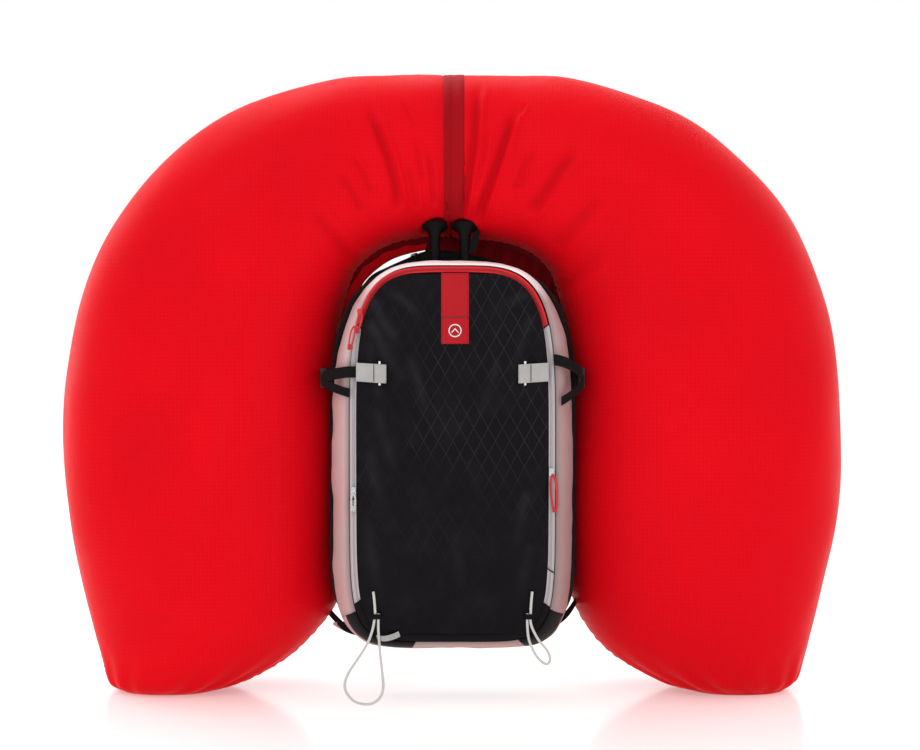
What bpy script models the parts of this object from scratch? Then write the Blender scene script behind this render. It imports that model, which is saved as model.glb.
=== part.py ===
"""Avalanche airbag backpack with its two air chambers inflated, standing on their feet.

Metres, Z up, the pack's front faces -Y and its wearer stands at +Y, so the wearer's left is -X.
The origin is on the ground under the middle of the object.
"""

import math

import bmesh
import bpy
from mathutils import Matrix, Vector

# Pack: outlines are superellipses in XZ, given as half width, half height, centre height and the
# powers above and below the centre.
PANEL = (0.1250, 0.2405, 0.3412, 4.1, 6.0)
ZIP_LINE = (0.1308, 0.2465, 0.3410, 4.0, 6.0)
GUSSET_FRONT = (0.1366, 0.2524, 0.3405, 4.0, 6.0)
GUSSET_REAR = (0.1630, 0.2650, 0.3350, 3.3, 6.0)
BACK = (0.1600, 0.2680, 0.3350, 3.2, 6.0)
FRONT_Y = -0.150
PANEL_BULGE = 0.015
ZIP_Y = -0.1495
GUSSET_Y = (-0.148, -0.060)
REAR_Y = (-0.0575, 0.0045)
CLOTH = 0.0012
FOLD = (0.0, -0.1675, 0.486)

# Air chambers: outer (x, z), inner (x, z) and half thickness at each station, top to foot.
AIR_Y = 0.015
AIR_WALL = 0.0012
AIR_POWER = 2.3
SPLIT_X = -0.004
STATIONS = (
    ((0.000, 0.8600), (0.000, 0.6340), 0.105),
    ((0.085, 0.8585), (0.024, 0.6335), 0.114),
    ((0.170, 0.8520), (0.047, 0.6320), 0.125),
    ((0.300, 0.8130), (0.086, 0.6235), 0.140),
    ((0.400, 0.7420), (0.118, 0.6060), 0.150),
    ((0.4705, 0.6550), (0.144, 0.5760), 0.155),
    ((0.5170, 0.5500), (0.160, 0.5300), 0.155),
    ((0.5385, 0.4400), (0.1665, 0.4300), 0.155),
    ((0.5433, 0.3300), (0.1670, 0.3200), 0.155),
    ((0.5360, 0.2350), (0.1675, 0.2200), 0.150),
    ((0.5190, 0.1500), (0.1720, 0.1380), 0.140),
    ((0.5040, 0.0850), (0.1960, 0.0880), 0.120),
    ((0.4930, 0.0420), (0.2330, 0.0460), 0.098),
    ((0.4840, 0.0140), (0.2860, 0.0150), 0.076),
    ((0.4660, 0.0000), (0.3330, 0.0000), 0.055),
)

# Inflation system.
TRUMPET_X = (-0.0245, 0.0165)
INLET = (-0.0350, 0.6453)
INLET_AXIS = Vector((0.0, -0.495, -0.869))
CARTRIDGE = (0.0, -0.030)
VALVE_Z = (0.524, 0.558)
MANIFOLD_Z = (0.5585, 0.5835)
HANDLE = (-0.0870, 0.1340, 0.400)

# Harness: x, y, z along the right shoulder pad, from the top of the back.
PAD_PATH = (
    (0.062, 0.0300, 0.522),
    (0.064, 0.0480, 0.552),
    (0.067, 0.0750, 0.562),
    (0.072, 0.1000, 0.545),
    (0.078, 0.1140, 0.500),
    (0.084, 0.1190, 0.440),
    (0.090, 0.1170, 0.380),
    (0.096, 0.1080, 0.320),
    (0.100, 0.0950, 0.270),
)
WING_PATH = (
    (0.104, 0.0300),
    (0.126, 0.0330),
    (0.143, 0.0470),
    (0.150, 0.0740),
    (0.147, 0.1050),
    (0.128, 0.1330),
    (0.100, 0.1470),
    (0.074, 0.1520),
)
BELT_Z = 0.168
STERNUM_Z = 0.455
BUCKLE = (0.1735, 0.4425)

COLOURS = {
    "air_red": ((0.80, 0.012, 0.020), 0.45, 0.0),
    "dark_red": ((0.28, 0.004, 0.010), 0.55, 0.0),
    "trim_red": ((0.65, 0.015, 0.03), 0.40, 0.0),
    "laminate": ((0.012, 0.011, 0.015), 0.42, 0.0),
    "light_grey": ((0.55, 0.52, 0.52), 0.60, 0.0),
    "black_web": ((0.010, 0.010, 0.011), 0.70, 0.0),
    "black_plastic": ((0.014, 0.014, 0.015), 0.35, 0.0),
    "foam": ((0.035, 0.035, 0.038), 0.85, 0.0),
    "cord_grey": ((0.62, 0.62, 0.60), 0.60, 0.0),
    "steel": ((0.55, 0.55, 0.57), 0.30, 1.0),
    "aluminium": ((0.70, 0.71, 0.73), 0.30, 1.0),
}


def clear_scene():
    for obj in list(bpy.data.objects):
        bpy.data.objects.remove(obj, do_unlink=True)


def finish(obj, look):
    colour, rough, metal = COLOURS[look]
    made = bpy.data.materials.new(obj.name)
    made.use_nodes = True
    shader = made.node_tree.nodes["Principled BSDF"]
    shader.inputs["Base Color"].default_value = (*colour, 1.0)
    shader.inputs["Roughness"].default_value = rough
    shader.inputs["Metallic"].default_value = metal
    obj.data.materials.clear()
    obj.data.materials.append(made)
    return obj


def add_mesh(name, mesh_of):
    mesh = bpy.data.meshes.new(name)
    bm = bmesh.new()
    mesh_of(bm)
    bm.to_mesh(mesh)
    bm.free()
    obj = bpy.data.objects.new(name, mesh)
    bpy.context.scene.collection.objects.link(obj)
    return obj


def grid(name, rows, closed=False):
    """An open cloth surface through rows of points, or a closed skin through rings of them."""

    def build(bm):
        verts = [[bm.verts.new(p) for p in row] for row in rows]
        for a, b in zip(verts, verts[1:]):
            count = len(a)
            for i in range(count if closed else count - 1):
                j = (i + 1) % count
                bm.faces.new((a[i], a[j], b[j], b[i]))
        if closed:
            bm.faces.new(verts[0])
            bm.faces.new(verts[-1])
            bmesh.ops.recalc_face_normals(bm, faces=bm.faces)

    return add_mesh(name, build)


def solidify(obj, thickness, offset=0.0):
    modifier = obj.modifiers.new("thickness", "SOLIDIFY")
    modifier.thickness = thickness
    modifier.offset = offset
    modifier.use_even_offset = True
    return obj


def bevel(obj, width, segments=2):
    modifier = obj.modifiers.new("edges", "BEVEL")
    modifier.width = width
    modifier.segments = segments
    modifier.limit_method = "ANGLE"
    modifier.angle_limit = math.radians(50)
    return obj


def slab(name, rows, look, thickness=CLOTH):
    return finish(solidify(grid(name, rows), thickness), look)


def ribbon(name, path, across, width, thickness, look):
    """Webbing along a path; across is its width's direction, the same all along."""
    half = Vector(across).normalized() * width / 2
    rows = [[Vector(p) - half, Vector(p) + half] for p in path]
    return slab(name, rows, look, thickness)


def plate(name, outline, y, thickness, look):
    """A flat sheet normal to Y, from an outline in XZ."""
    obj = add_mesh(name, lambda bm: bm.faces.new([bm.verts.new((x, y, z)) for x, z in outline]))
    return finish(solidify(obj, thickness), look)


def block(name, centre, size, look, edge=0.0):
    def build(bm):
        bmesh.ops.create_cube(bm, size=1.0)
        bmesh.ops.scale(bm, vec=size, verts=bm.verts)
        bmesh.ops.translate(bm, vec=centre, verts=bm.verts)

    obj = finish(add_mesh(name, build), look)
    return bevel(obj, edge) if edge else obj


def rod(name, centre, radius, length, axis, look, steps=20):
    turn = Vector((0, 0, 1)).rotation_difference(Vector(axis)).to_matrix().to_4x4()

    def build(bm):
        bmesh.ops.create_cone(
            bm, cap_ends=True, segments=steps, radius1=radius, radius2=radius, depth=length,
            matrix=Matrix.Translation(centre) @ turn,
        )

    return finish(add_mesh(name, build), look)


def turned(name, centre, profile, look, steps=24):
    """A body turned about a vertical axis from a profile of (radius, height), top to bottom."""
    mesh = bpy.data.meshes.new(name)
    mesh.from_pydata([(r, 0, z) for r, z in profile], [(i, i + 1) for i in range(len(profile) - 1)], [])
    obj = bpy.data.objects.new(name, mesh)
    bpy.context.scene.collection.objects.link(obj)
    obj.location = centre
    screw = obj.modifiers.new("turn", "SCREW")
    screw.steps = screw.render_steps = steps
    screw.use_merge_vertices = True
    screw.merge_threshold = 1e-5
    screw.use_normal_calculate = True
    return finish(obj, look)


def tube(name, path, radius, look, radii=None, closed=False, resolution=2):
    curve = bpy.data.curves.new(name, "CURVE")
    curve.dimensions = "3D"
    curve.bevel_depth = radius
    curve.bevel_resolution = resolution
    curve.use_fill_caps = not closed
    spline = curve.splines.new("POLY")
    spline.points.add(len(path) - 1)
    spline.use_cyclic_u = closed
    for i, p in enumerate(path):
        spline.points[i].co = (*p, 1.0)
        spline.points[i].radius = radii[i] / radius if radii else 1.0
    obj = bpy.data.objects.new(name, curve)
    bpy.context.scene.collection.objects.link(obj)
    return finish(obj, look)


def as_mesh(obj):
    """The same object as a plain mesh, which a Boolean needs."""
    graph = bpy.context.evaluated_depsgraph_get()
    mesh = bpy.data.meshes.new_from_object(obj.evaluated_get(graph))
    name, look = obj.name, obj.data.materials[0]
    place = obj.matrix_world.copy()
    bpy.data.objects.remove(obj, do_unlink=True)
    solid = bpy.data.objects.new(name, mesh)
    solid.matrix_world = place
    bpy.context.scene.collection.objects.link(solid)
    bm = bmesh.new()
    bm.from_mesh(mesh)
    bmesh.ops.remove_doubles(bm, verts=bm.verts, dist=1e-6)
    bmesh.ops.recalc_face_normals(bm, faces=bm.faces)
    bm.to_mesh(mesh)
    bm.free()
    mesh.materials.clear()
    mesh.materials.append(look)
    return solid


def helper_collection():
    found = bpy.data.collections.get("cutters")
    if not found:
        found = bpy.data.collections.new("cutters")
        bpy.context.scene.collection.children.link(found)
        found.hide_render = True
    return found


def boolean(obj, other, operation="DIFFERENCE"):
    modifier = obj.modifiers.new(operation.lower(), "BOOLEAN")
    modifier.solver = "EXACT"
    modifier.operation = operation
    modifier.object = other
    for home in list(other.users_collection):
        home.objects.unlink(other)
    helper_collection().objects.link(other)
    other.hide_render = True
    other.display_type = "WIRE"
    return obj


def pivot(obj, point):
    """Moves the object's origin onto its joint axis, leaving its shape where it is."""
    shift = Vector(point) - obj.location
    if obj.type == "MESH":
        obj.data.transform(Matrix.Translation(-shift))
    else:
        for point_on in obj.data.splines[0].points:
            point_on.co = (*(Vector(point_on.co[:3]) - shift), 1.0)
    obj.location = Vector(point)
    return obj


def outline_point(shape, place):
    """A point in XZ on an outline: place runs 0-1 up the right, 1-2 over the top to the left,
    2-3 down the left and 3-4 along the bottom, each side ending at its corners' middle."""
    width, height, middle, above, below = shape
    side, along = int(place) % 4, 2 * (place - int(place)) - 1
    if side in (0, 2):
        up = along if side == 0 else -along
        power = above if up > 0 else below
        v = up * 0.5 ** (1 / power)
        x = width * (1 - abs(v) ** power) ** (1 / power)
        return (x if side == 0 else -x, middle + height * v)
    power = above if side == 1 else below
    u = (-along if side == 1 else along) * 0.5 ** (1 / power)
    rise = height * (1 - abs(u) ** power) ** (1 / power)
    return (width * u, middle + rise if side == 1 else middle - rise)


def mix(a, b, t):
    return tuple(p + (q - p) * t for p, q in zip(a, b))


def spread(start, end, count):
    return [start + (end - start) * i / (count - 1) for i in range(count)]


def grown(shape, by):
    return (shape[0] + by, shape[1] + by, *shape[2:])


def panel_y(x, z):
    """The front panel's own surface, which bulges forward between its edges."""
    up = min(1.0, abs((z - PANEL[2]) / PANEL[1]))
    out = min(1.0, abs(x / PANEL[0]))
    return FRONT_Y - PANEL_BULGE * (1 - out**2.5) * (1 - up**4)


def gusset_row(depth, places):
    """Points round the side of the pack; depth 0 is its front edge and 1 its rear edge."""
    shape = mix(GUSSET_FRONT, GUSSET_REAR, math.sqrt(1 - (1 - depth) ** 2))
    y = GUSSET_Y[0] + (GUSSET_Y[1] - GUSSET_Y[0]) * depth
    return [(x, y, z) for x, z in (outline_point(shape, p) for p in places)]


def front_rows(levels):
    rows = []
    for v in levels:
        z = PANEL[2] + PANEL[1] * v
        power = PANEL[3] if v > 0 else PANEL[4]
        half = PANEL[0] * (1 - abs(v) ** power) ** (1 / power)
        row = [half * s for s in (-1, -0.9, -0.7, -0.4, 0, 0.4, 0.7, 0.9, 1)]
        rows.append([(x, panel_y(x, z), z) for x in row])
    return rows


def zip_band(name, start, end, count, look, columns):
    """A tape along the line between the front panel and the side, with its teeth as a ridge."""
    rows = []
    for place in spread(start, end, count):
        row = [(outline_point(grown(ZIP_LINE, offset), place), y) for offset, y in columns]
        rows.append([(x, y, z) for (x, z), y in row])
    return slab(name, rows, look, 0.0008)


def build_pack():
    depths = (0.0, 0.05, 0.16, 0.38, 0.68, 1.0)
    slab("side_gusset", [gusset_row(d, spread(0.0, 3.0, 31)) for d in depths], "light_grey")
    slab("bottom_panel", [gusset_row(d, spread(3.006, 3.994, 9)) for d in depths], "light_grey")
    rear = []
    for y, shape in ((REAR_Y[0], GUSSET_REAR), (REAR_Y[1], BACK)):
        around = [outline_point(shape, p % 4) for p in spread(1.82, 5.18, 31)]
        rear.append([(x, y, z) for x, z in around])
    slab("rear_gusset", rear, "black_web")
    slab("front_panel", front_rows((-0.985, -0.95, -0.88, -0.75, -0.5, -0.2, 0.1, 0.4, 0.598)),
         "laminate")
    pivot(slab("front_flap", front_rows((0.604, 0.70, 0.80, 0.88, 0.94, 0.975, 0.993)), "laminate"),
          FOLD)
    stripe = [[(x, panel_y(x, z) - 0.0012, z) for x in (-0.0147, 0.0035, 0.0217)]
              for z in spread(0.4895, 0.577, 5)]
    pivot(slab("centre_stripe", stripe, "trim_red", 0.0006), FOLD)
    divider = [outline_point(grown(GUSSET_REAR, -0.0030), p) for p in spread(0, 3.9, 40)]
    plate("compartment_divider", divider, -0.0610, CLOTH, "black_web")


def build_zips():
    teeth = ((-0.0048, ZIP_Y), (-0.0017, ZIP_Y), (-0.0011, ZIP_Y - 0.001),
             (0.0011, ZIP_Y - 0.001), (0.0017, ZIP_Y), (0.0048, ZIP_Y))
    flat = ((-0.0048, ZIP_Y), (0.0, ZIP_Y - 0.0006), (0.0048, ZIP_Y))
    zip_band("main_zip", 0.852, 2.148, 23, "trim_red", teeth)
    zip_band("side_zip_right", 0.156, 0.848, 8, "light_grey", teeth)
    zip_band("side_zip_left", 2.152, 2.627, 6, "light_grey", teeth)
    zip_band("front_binding", 2.631, 4.152, 21, "light_grey", flat)
    slider = ZIP_Y - 0.0033
    block("side_slider_left", (-0.1308, slider, 0.295), (0.007, 0.003, 0.011), "steel", 0.0008)
    block("side_slider_right", (0.1308, slider, 0.320), (0.007, 0.003, 0.011), "steel", 0.0008)
    block("main_slider", (-0.1218, slider, 0.5265), (0.0075, 0.003, 0.020), "black_plastic", 0.0008)
    pull = slider - 0.0034
    cord_pull("side_pull_left", (-0.1308, pull, 0.292), 0.022, 0.0, "cord_grey")
    cord_pull("side_pull_right", (0.1325, pull, 0.317), 0.050, 0.003, "trim_red")
    cord_pull("main_pull_upper", (-0.1200, pull, 0.5310), 0.026, -0.006, "trim_red")
    cord_pull("main_pull_lower", (-0.1315, pull - 0.0042, 0.5130), 0.030, -0.006, "trim_red")


def cord_pull(name, top, length, lean, look):
    """A short loop of cord with a knot at its end, hanging from a zip slider."""
    x, y, z = top
    loop = [(0.0, 0.0), (0.0022, -0.20), (0.0026, -0.55), (0.0016, -0.85), (-0.0016, -0.85),
            (-0.0026, -0.55), (-0.0022, -0.20)]
    path = [(x + dx - lean * t, y, z + length * t) for dx, t in loop]
    obj = as_mesh(tube(name, path, 0.0012, look, closed=True, resolution=1))

    def build(bm):
        place = Matrix.Translation((x + lean * 0.9, y, z - length * 0.92))
        bmesh.ops.create_icosphere(bm, subdivisions=1, radius=0.0036, matrix=place)

    boolean(obj, add_mesh(name + "_knot", build), "UNION")
    return pivot_keeping(obj, top)


def pivot_keeping(obj, point):
    """Moves the origins of an object and of what its Booleans use, together."""
    for modifier in obj.modifiers:
        if modifier.type == "BOOLEAN":
            pivot(modifier.object, point)
    return pivot(obj, point)


def catmull(values, steps):
    """Stations between the given ones, on a smooth curve through them."""
    result = []
    last = len(values) - 1
    for i in range(last):
        a, b = values[max(i - 1, 0)], values[i]
        c, d = values[i + 1], values[min(i + 2, last)]
        for k in range(steps):
            t = k / steps
            result.append(tuple(
                0.5 * (2 * q + (r - p) * t + (2 * p - 5 * q + 4 * r - s) * t * t
                       + (3 * q - p - 3 * r + s) * t**3)
                for p, q, r, s in zip(a, b, c, d)))
    result.append(values[last])
    return result


def section(station, side, start_x, count=24):
    """One ring of a chamber, between its outer and inner edge."""
    ox, oz, ix, iz, half = station
    ring = []
    for i in range(count):
        angle = 2 * math.pi * i / count
        c, s = math.cos(angle), math.sin(angle)
        c = math.copysign(abs(c) ** (2 / AIR_POWER), c)
        s = math.copysign(abs(s) ** (2 / AIR_POWER), s)
        x = (ox + ix) / 2 + (ox - ix) / 2 * c
        z = (oz + iz) / 2 + (oz - iz) / 2 * c
        ring.append((max(x * side, start_x) if side > 0 else min(x * side, start_x),
                     AIR_Y + half * s, max(z, 0.0)))
    return ring


def on_chamber(stations, side, index, x):
    """A point just off a chamber's skin, between its first two rings, at this x."""
    start = SPLIT_X + side * 0.0004
    a, b = section(stations[0], side, start)[index], section(stations[1], side, start)[index]
    t = (x - start) / (b[0] - start)
    y, z = a[1] + (b[1] - a[1]) * t, a[2] + (b[2] - a[2]) * t
    out = Vector((0, y - AIR_Y, z - 0.747)).normalized() * 0.0012
    return (x, y + out.y, z + out.z)


def build_airbag():
    stations = [(*outer, *inner, half) for outer, inner, half in STATIONS]
    smooth = [s for i, s in enumerate(catmull(stations, 2)) if i % 2 == 0 or 2 < i < 26]
    for side, label, x in ((-1, "left", TRUMPET_X[0]), (1, "right", TRUMPET_X[1])):
        start = SPLIT_X + side * 0.0004
        rings = [section(s, side, start) for s in smooth]
        rings[0] = [(start, y, z) for x0, y, z in rings[0]]
        chamber = finish(grid("airbag_chamber_" + label, rings, closed=True), "air_red")
        solidify(chamber, AIR_WALL, -1.0)
        centre = Vector((x, *INLET)) - INLET_AXIS * 0.006
        hole = rod("inlet_hole_" + label, centre, 0.0186, 0.050, INLET_AXIS, "air_red", 28)
        boolean(chamber, hole)
    strip = []
    for i in range(-8, 11):
        strip.append([on_chamber(smooth, side, i, x) for side, x in (
            (-1, -0.0115), (-1, SPLIT_X - 0.0005), (1, SPLIT_X), (1, 0.0225))])
    slab("airbag_centre_strip", strip, "dark_red", 0.0008)


def build_skirt():
    """The cloth that joins the chambers' inner edge to the top of the back."""
    rows = []
    for x, z in ((-0.040, 0.6310), (0.0, 0.6312), (0.037, 0.6295), (0.070, 0.6235),
                 (0.096, 0.6130), (0.114, 0.5990), (0.128, 0.5840)):
        place_x = x * 0.93
        v = (1 - abs(place_x / BACK[0]) ** BACK[3]) ** (1 / BACK[3])
        low = BACK[2] + BACK[1] * v + 0.0025
        rows.append([(place_x, 0.006, low), (x, 0.010, z - 0.002)])
    slab("airbag_skirt", rows, "dark_red")


def build_inflation():
    for x, label in zip(TRUMPET_X, ("left", "right")):
        top = Vector((x, *INLET))
        steps = ((0.0, 0.018), (0.002, 0.018), (0.004, 0.0152), (0.008, 0.0118), (0.014, 0.0088),
                 (0.022, 0.0070))
        path = [tuple(top + INLET_AXIS * t) for t, r in steps]
        radii = [r for t, r in steps]
        for y, z in ((-0.0490, 0.6160), (-0.0500, 0.6050), (-0.0500, 0.5840)):
            path.append((x, y, z))
            radii.append(0.0070)
        trumpet = as_mesh(tube("intake_trumpet_" + label, path, 0.007, "black_plastic", radii,
                               resolution=3))
        bore = [tuple(top - INLET_AXIS * 0.002)] + path[:-1] + [(x, -0.0500, 0.5800)]
        inner = [0.0165] + [0.0165, 0.0160] + [r - 0.0018 for r in radii[2:-1]] + [0.0052]
        cutter = as_mesh(tube("trumpet_bore_" + label, bore, 0.007, "black_plastic", inner,
                              resolution=3))
        boolean(trumpet, cutter)
        flap_top = top + INLET_AXIS * 0.0050
        flap = rod("check_flap_" + label, tuple(flap_top), 0.0105, 0.0008, INLET_AXIS, "trim_red", 20)
        edge = flap_top + Vector((0, -INLET_AXIS.z, INLET_AXIS.y)) * -0.0105
        pivot(flap, edge)
    x, y = CARTRIDGE
    size = MANIFOLD_Z[1] - MANIFOLD_Z[0]
    block("venturi_manifold", (-0.004, -0.0400, sum(MANIFOLD_Z) / 2), (0.066, 0.034, size),
          "black_plastic", 0.002)
    valve = block("trigger_valve", (x, y, sum(VALVE_Z) / 2), (0.044, 0.036, 0.034), "aluminium")
    boolean(valve, rod("pin_bore", (x, y, 0.541), 0.0033, 0.060, (0, 0, 1), "aluminium", 24))
    pin = ((0.0, 0.5575), (0.0030, 0.5575), (0.0030, 0.5330), (0.0, 0.5270))
    turned("piercing_pin", (x, y, 0.0), pin, "steel", 20)
    ring = ((0.0103, 0.5235), (0.0165, 0.5235), (0.0175, 0.5225), (0.0175, 0.5095), (0.0165, 0.5085),
            (0.0103, 0.5085), (0.0103, 0.5235))
    turned("cartridge_collar", (x, y, 0.0), ring, "steel")
    bottle = ((0.0, 0.5232), (0.0095, 0.5232), (0.0095, 0.5060), (0.0150, 0.5010), (0.0220, 0.4930),
              (0.0260, 0.4780), (0.0260, 0.3180), (0.0240, 0.3080), (0.0180, 0.3010), (0.0, 0.2990))
    turned("gas_cartridge", (x, y, 0.0), bottle, "aluminium")
    cam = rod("trigger_cam", (-0.0285, y, 0.541), 0.0110, 0.0080, (1, 0, 0), "steel", 20)
    arm = block("cam_arm", (-0.0285, y + 0.012, 0.541), (0.006, 0.016, 0.006), "steel")
    boolean(cam, arm, "UNION")
    pivot_keeping(cam, (-0.0285, y, 0.541))
    cable = ((-0.0870, 0.1340, 0.4285), (-0.0830, 0.1330, 0.4700), (-0.0780, 0.1245, 0.5150),
             (-0.0730, 0.1100, 0.5560), (-0.0690, 0.0850, 0.5800), (-0.0640, 0.0520, 0.5920),
             (-0.0570, 0.0220, 0.6100), (-0.0510, -0.0020, 0.6110), (-0.0490, -0.0180, 0.5990),
             (-0.0460, -0.0290, 0.5780), (-0.0415, -0.0310, 0.5570))
    tube("trigger_cable", cable, 0.0022, "black_plastic")


def build_handle():
    x, y, z = HANDLE
    dock = block("handle_dock", (x, y, z), (0.026, 0.014, 0.054), "black_web", 0.002)
    boolean(dock, block("dock_slot", (x, y, z - 0.008), (0.011, 0.007, 0.060), "black_web"))
    stem = block("trigger_handle", (x, y, z - 0.015), (0.010, 0.006, 0.048), "trim_red")
    grip = block("grip", (x, y, z - 0.062), (0.024, 0.016, 0.064), "trim_red", 0.005)
    boolean(stem, grip, "UNION")


def compression(side, label):
    """Side strap: keeper on the front, a strap of two legs, and a release buckle at the side."""
    x, z = BUCKLE
    front = [(side * a, b, z + c) for a, b, c in (
        (x, -0.1060, 0.0), (x, -0.1220, 0.001), (0.1640, -0.1400, 0.006), (0.1450, -0.1545, 0.011),
        (0.1330, -0.1572, 0.013), (0.1180, -0.1572, 0.013))]
    strap = ribbon("compression_strap_" + label, front, (0, 0, 1), 0.015, 0.0012, "black_web")
    low = [(side * a, b, z + c) for a, b, c in (
        (x + 0.0006, -0.1063, -0.001), (x + 0.0006, -0.1215, -0.003), (0.1630, -0.1380, -0.010),
        (0.1460, -0.1490, -0.018), (0.1400, -0.1525, -0.021))]
    boolean(strap, ribbon("lower_leg_" + label, low, (0, 0, 1), 0.012, 0.0012, "black_web"), "UNION")
    keeper = [(side * a, b, z + 0.010) for a, b in (
        (0.1265, -0.1600), (0.1160, -0.1625), (0.1020, -0.1650), (0.0900, -0.1655), (0.0880, -0.1610))]
    loop = ribbon("keeper_" + label, keeper, (0, 0, 1), 0.032, 0.0014, "light_grey")
    boolean(loop, rod("toggle_" + label, (side * 0.0945, -0.1655, z + 0.0095), 0.0013, 0.041,
                      (0, 0, 1), "light_grey", 8), "UNION")
    tongue = block("compression_tongue_" + label, (side * x, -0.0980, z), (0.009, 0.0190, 0.025),
                   "black_plastic", 0.001)
    boolean(tongue, block("strap_slot_" + label, (side * x, -0.1010, z), (0.0042, 0.018, 0.019),
                          "black_plastic"))
    boolean(tongue, block("prongs_" + label, (side * x, -0.0838, z), (0.005, 0.0140, 0.017),
                          "black_plastic"), "UNION")
    latch = block("compression_latch_" + label, (side * x, -0.0725, z), (0.0105, 0.0315, 0.027),
                  "black_plastic", 0.001)
    boolean(latch, block("latch_mouth_" + label, (side * x, -0.0850, z), (0.0058, 0.0200, 0.018),
                         "black_plastic"))


def axe_loop(name, side, points):
    path = [(side * x, y, z) for x, y, z in catmull(points, 2)]
    tube(name, path, 0.00175, "cord_grey")


def build_axe_loops():
    front = -0.1570
    left = ((0.1045, 0.1620), (0.1030, 0.1480), (0.1022, 0.1350), (0.1030, 0.1250), (0.1060, 0.1100),
            (0.1130, 0.0920), (0.1255, 0.0720), (0.1375, 0.0540), (0.1427, 0.0380), (0.1395, 0.0260),
            (0.1300, 0.0160), (0.1170, 0.0120), (0.1040, 0.0140), (0.0945, 0.0230), (0.0915, 0.0360),
            (0.0930, 0.0550), (0.0955, 0.0780), (0.0972, 0.0980), (0.0980, 0.1120), (0.0980, 0.1250),
            (0.0975, 0.1330))
    right = ((0.1055, 0.1620), (0.1042, 0.1480), (0.1035, 0.1350), (0.1040, 0.1180), (0.1137, 0.0980),
             (0.1243, 0.0850), (0.1290, 0.0740), (0.1270, 0.0665), (0.1205, 0.0670),
             (0.1100, 0.0780), (0.1012, 0.0980), (0.0990, 0.1180), (0.0990, 0.1330))
    axe_loop("axe_loop_left", -1, [(x, front, z) for x, z in left])
    axe_loop("axe_loop_right", 1, [(x, front, z) for x, z in right])


def build_back():
    sheet = [outline_point(grown(BACK, -0.0120), p) for p in spread(0, 3.9, 40)]
    plate("frame_sheet", sheet, 0.0040, 0.0016, "black_plastic")
    pad = [outline_point(grown(BACK, -0.0100), p) for p in spread(0, 3.9, 40)]
    bevel(plate("back_pad", pad, 0.0140, 0.0150, "foam"), 0.003)
    loop = ((-0.035, 0.0255, 0.5700), (-0.034, 0.0300, 0.5880), (-0.026, 0.0380, 0.6020),
            (0.0, 0.0420, 0.6080), (0.026, 0.0380, 0.6020), (0.034, 0.0300, 0.5880),
            (0.035, 0.0255, 0.5700))
    handle = ribbon("haul_handle", loop, (0, 1, -0.3), 0.004, 0.0020, "black_web")
    pivot(handle, (0.0, 0.0255, 0.5700))


def shoulder(side, label):
    rows = []
    for x, y, z in PAD_PATH:
        half = 0.029
        rows.append([(side * (x + s * half), y, z) for s in (-1, -0.5, 0, 0.5, 1)])
    bevel(slab("shoulder_pad_" + label, rows, "foam", 0.012), 0.0035)
    web = [(side * x, y, z) for x, y, z in (
        (0.0990, 0.0930, 0.2640), (0.0960, 0.0760, 0.2150), (0.0915, 0.0500, 0.1550),
        (0.0900, 0.0270, 0.1120), (0.0900, 0.0245, 0.1000))]
    ribbon("strap_webbing_" + label, web, (1, 0, 0), 0.020, 0.0016, "black_web")


def build_sternum():
    y, z = 0.1305, STERNUM_Z
    web = [(-0.0640, y, z), (-0.0200, y, z), (0.0276, y, z)]
    ribbon("sternum_strap", web, (0, 0, 1), 0.018, 0.0014, "black_web")
    release_buckle("sternum", (0.0400, y, z), (0.026, 0.009, 0.024))


def release_buckle(kind, centre, size):
    """A latch at +X with a mouth, and a tongue whose prongs are in it; both along X."""
    x, y, z = centre
    length, depth, height = size
    latch = block(kind + "_latch", (x + length / 2 + 0.0002, y, z), (length, depth, height),
                  "black_plastic", 0.0012)
    mouth = (length * 1.2, depth * 0.56, height * 0.70)
    boolean(latch, block(kind + "_mouth", (x, y, z), mouth, "black_plastic"))
    tongue = block(kind + "_tongue", (x - length * 0.22 - 0.0002, y, z),
                   (length * 0.44, depth, height), "black_plastic", 0.0012)
    prongs = (length * 0.66, depth * 0.46, height * 0.60)
    boolean(tongue, block(kind + "_prongs", (x + length * 0.16, y, z), prongs, "black_plastic"),
            "UNION")


def build_belt():
    for side, label in ((-1, "left"), (1, "right")):
        rows = []
        heights = (0.045, 0.045, 0.044, 0.042, 0.038, 0.032, 0.025, 0.019)
        for (x, y), half in zip(WING_PATH, heights):
            rows.append([(side * x, y, BELT_Z + half * s) for s in (-1, -0.5, 0, 0.5, 1)])
        bevel(slab("hip_wing_" + label, rows, "foam", 0.010), 0.003)
    web = ((-0.0735, 0.1590, BELT_Z), (-0.0300, 0.1595, BELT_Z), (0.0116, 0.1595, BELT_Z))
    ribbon("hip_webbing", web, (0, 0, 1), 0.025, 0.0014, "black_web")
    release_buckle("hip", (0.0300, 0.1585, BELT_Z), (0.040, 0.012, 0.036))


def build():
    clear_scene()
    build_airbag()
    build_skirt()
    build_inflation()
    build_handle()
    build_pack()
    build_zips()
    for side, label in ((-1, "left"), (1, "right")):
        compression(side, label)
        shoulder(side, label)
    build_axe_loops()
    build_back()
    build_belt()
    build_sternum()


build()
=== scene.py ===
"""The visual model of the avalanche airbag backpack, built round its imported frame."""

import math

import bmesh
import bpy
import numpy as np
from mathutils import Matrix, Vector, noise


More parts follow.
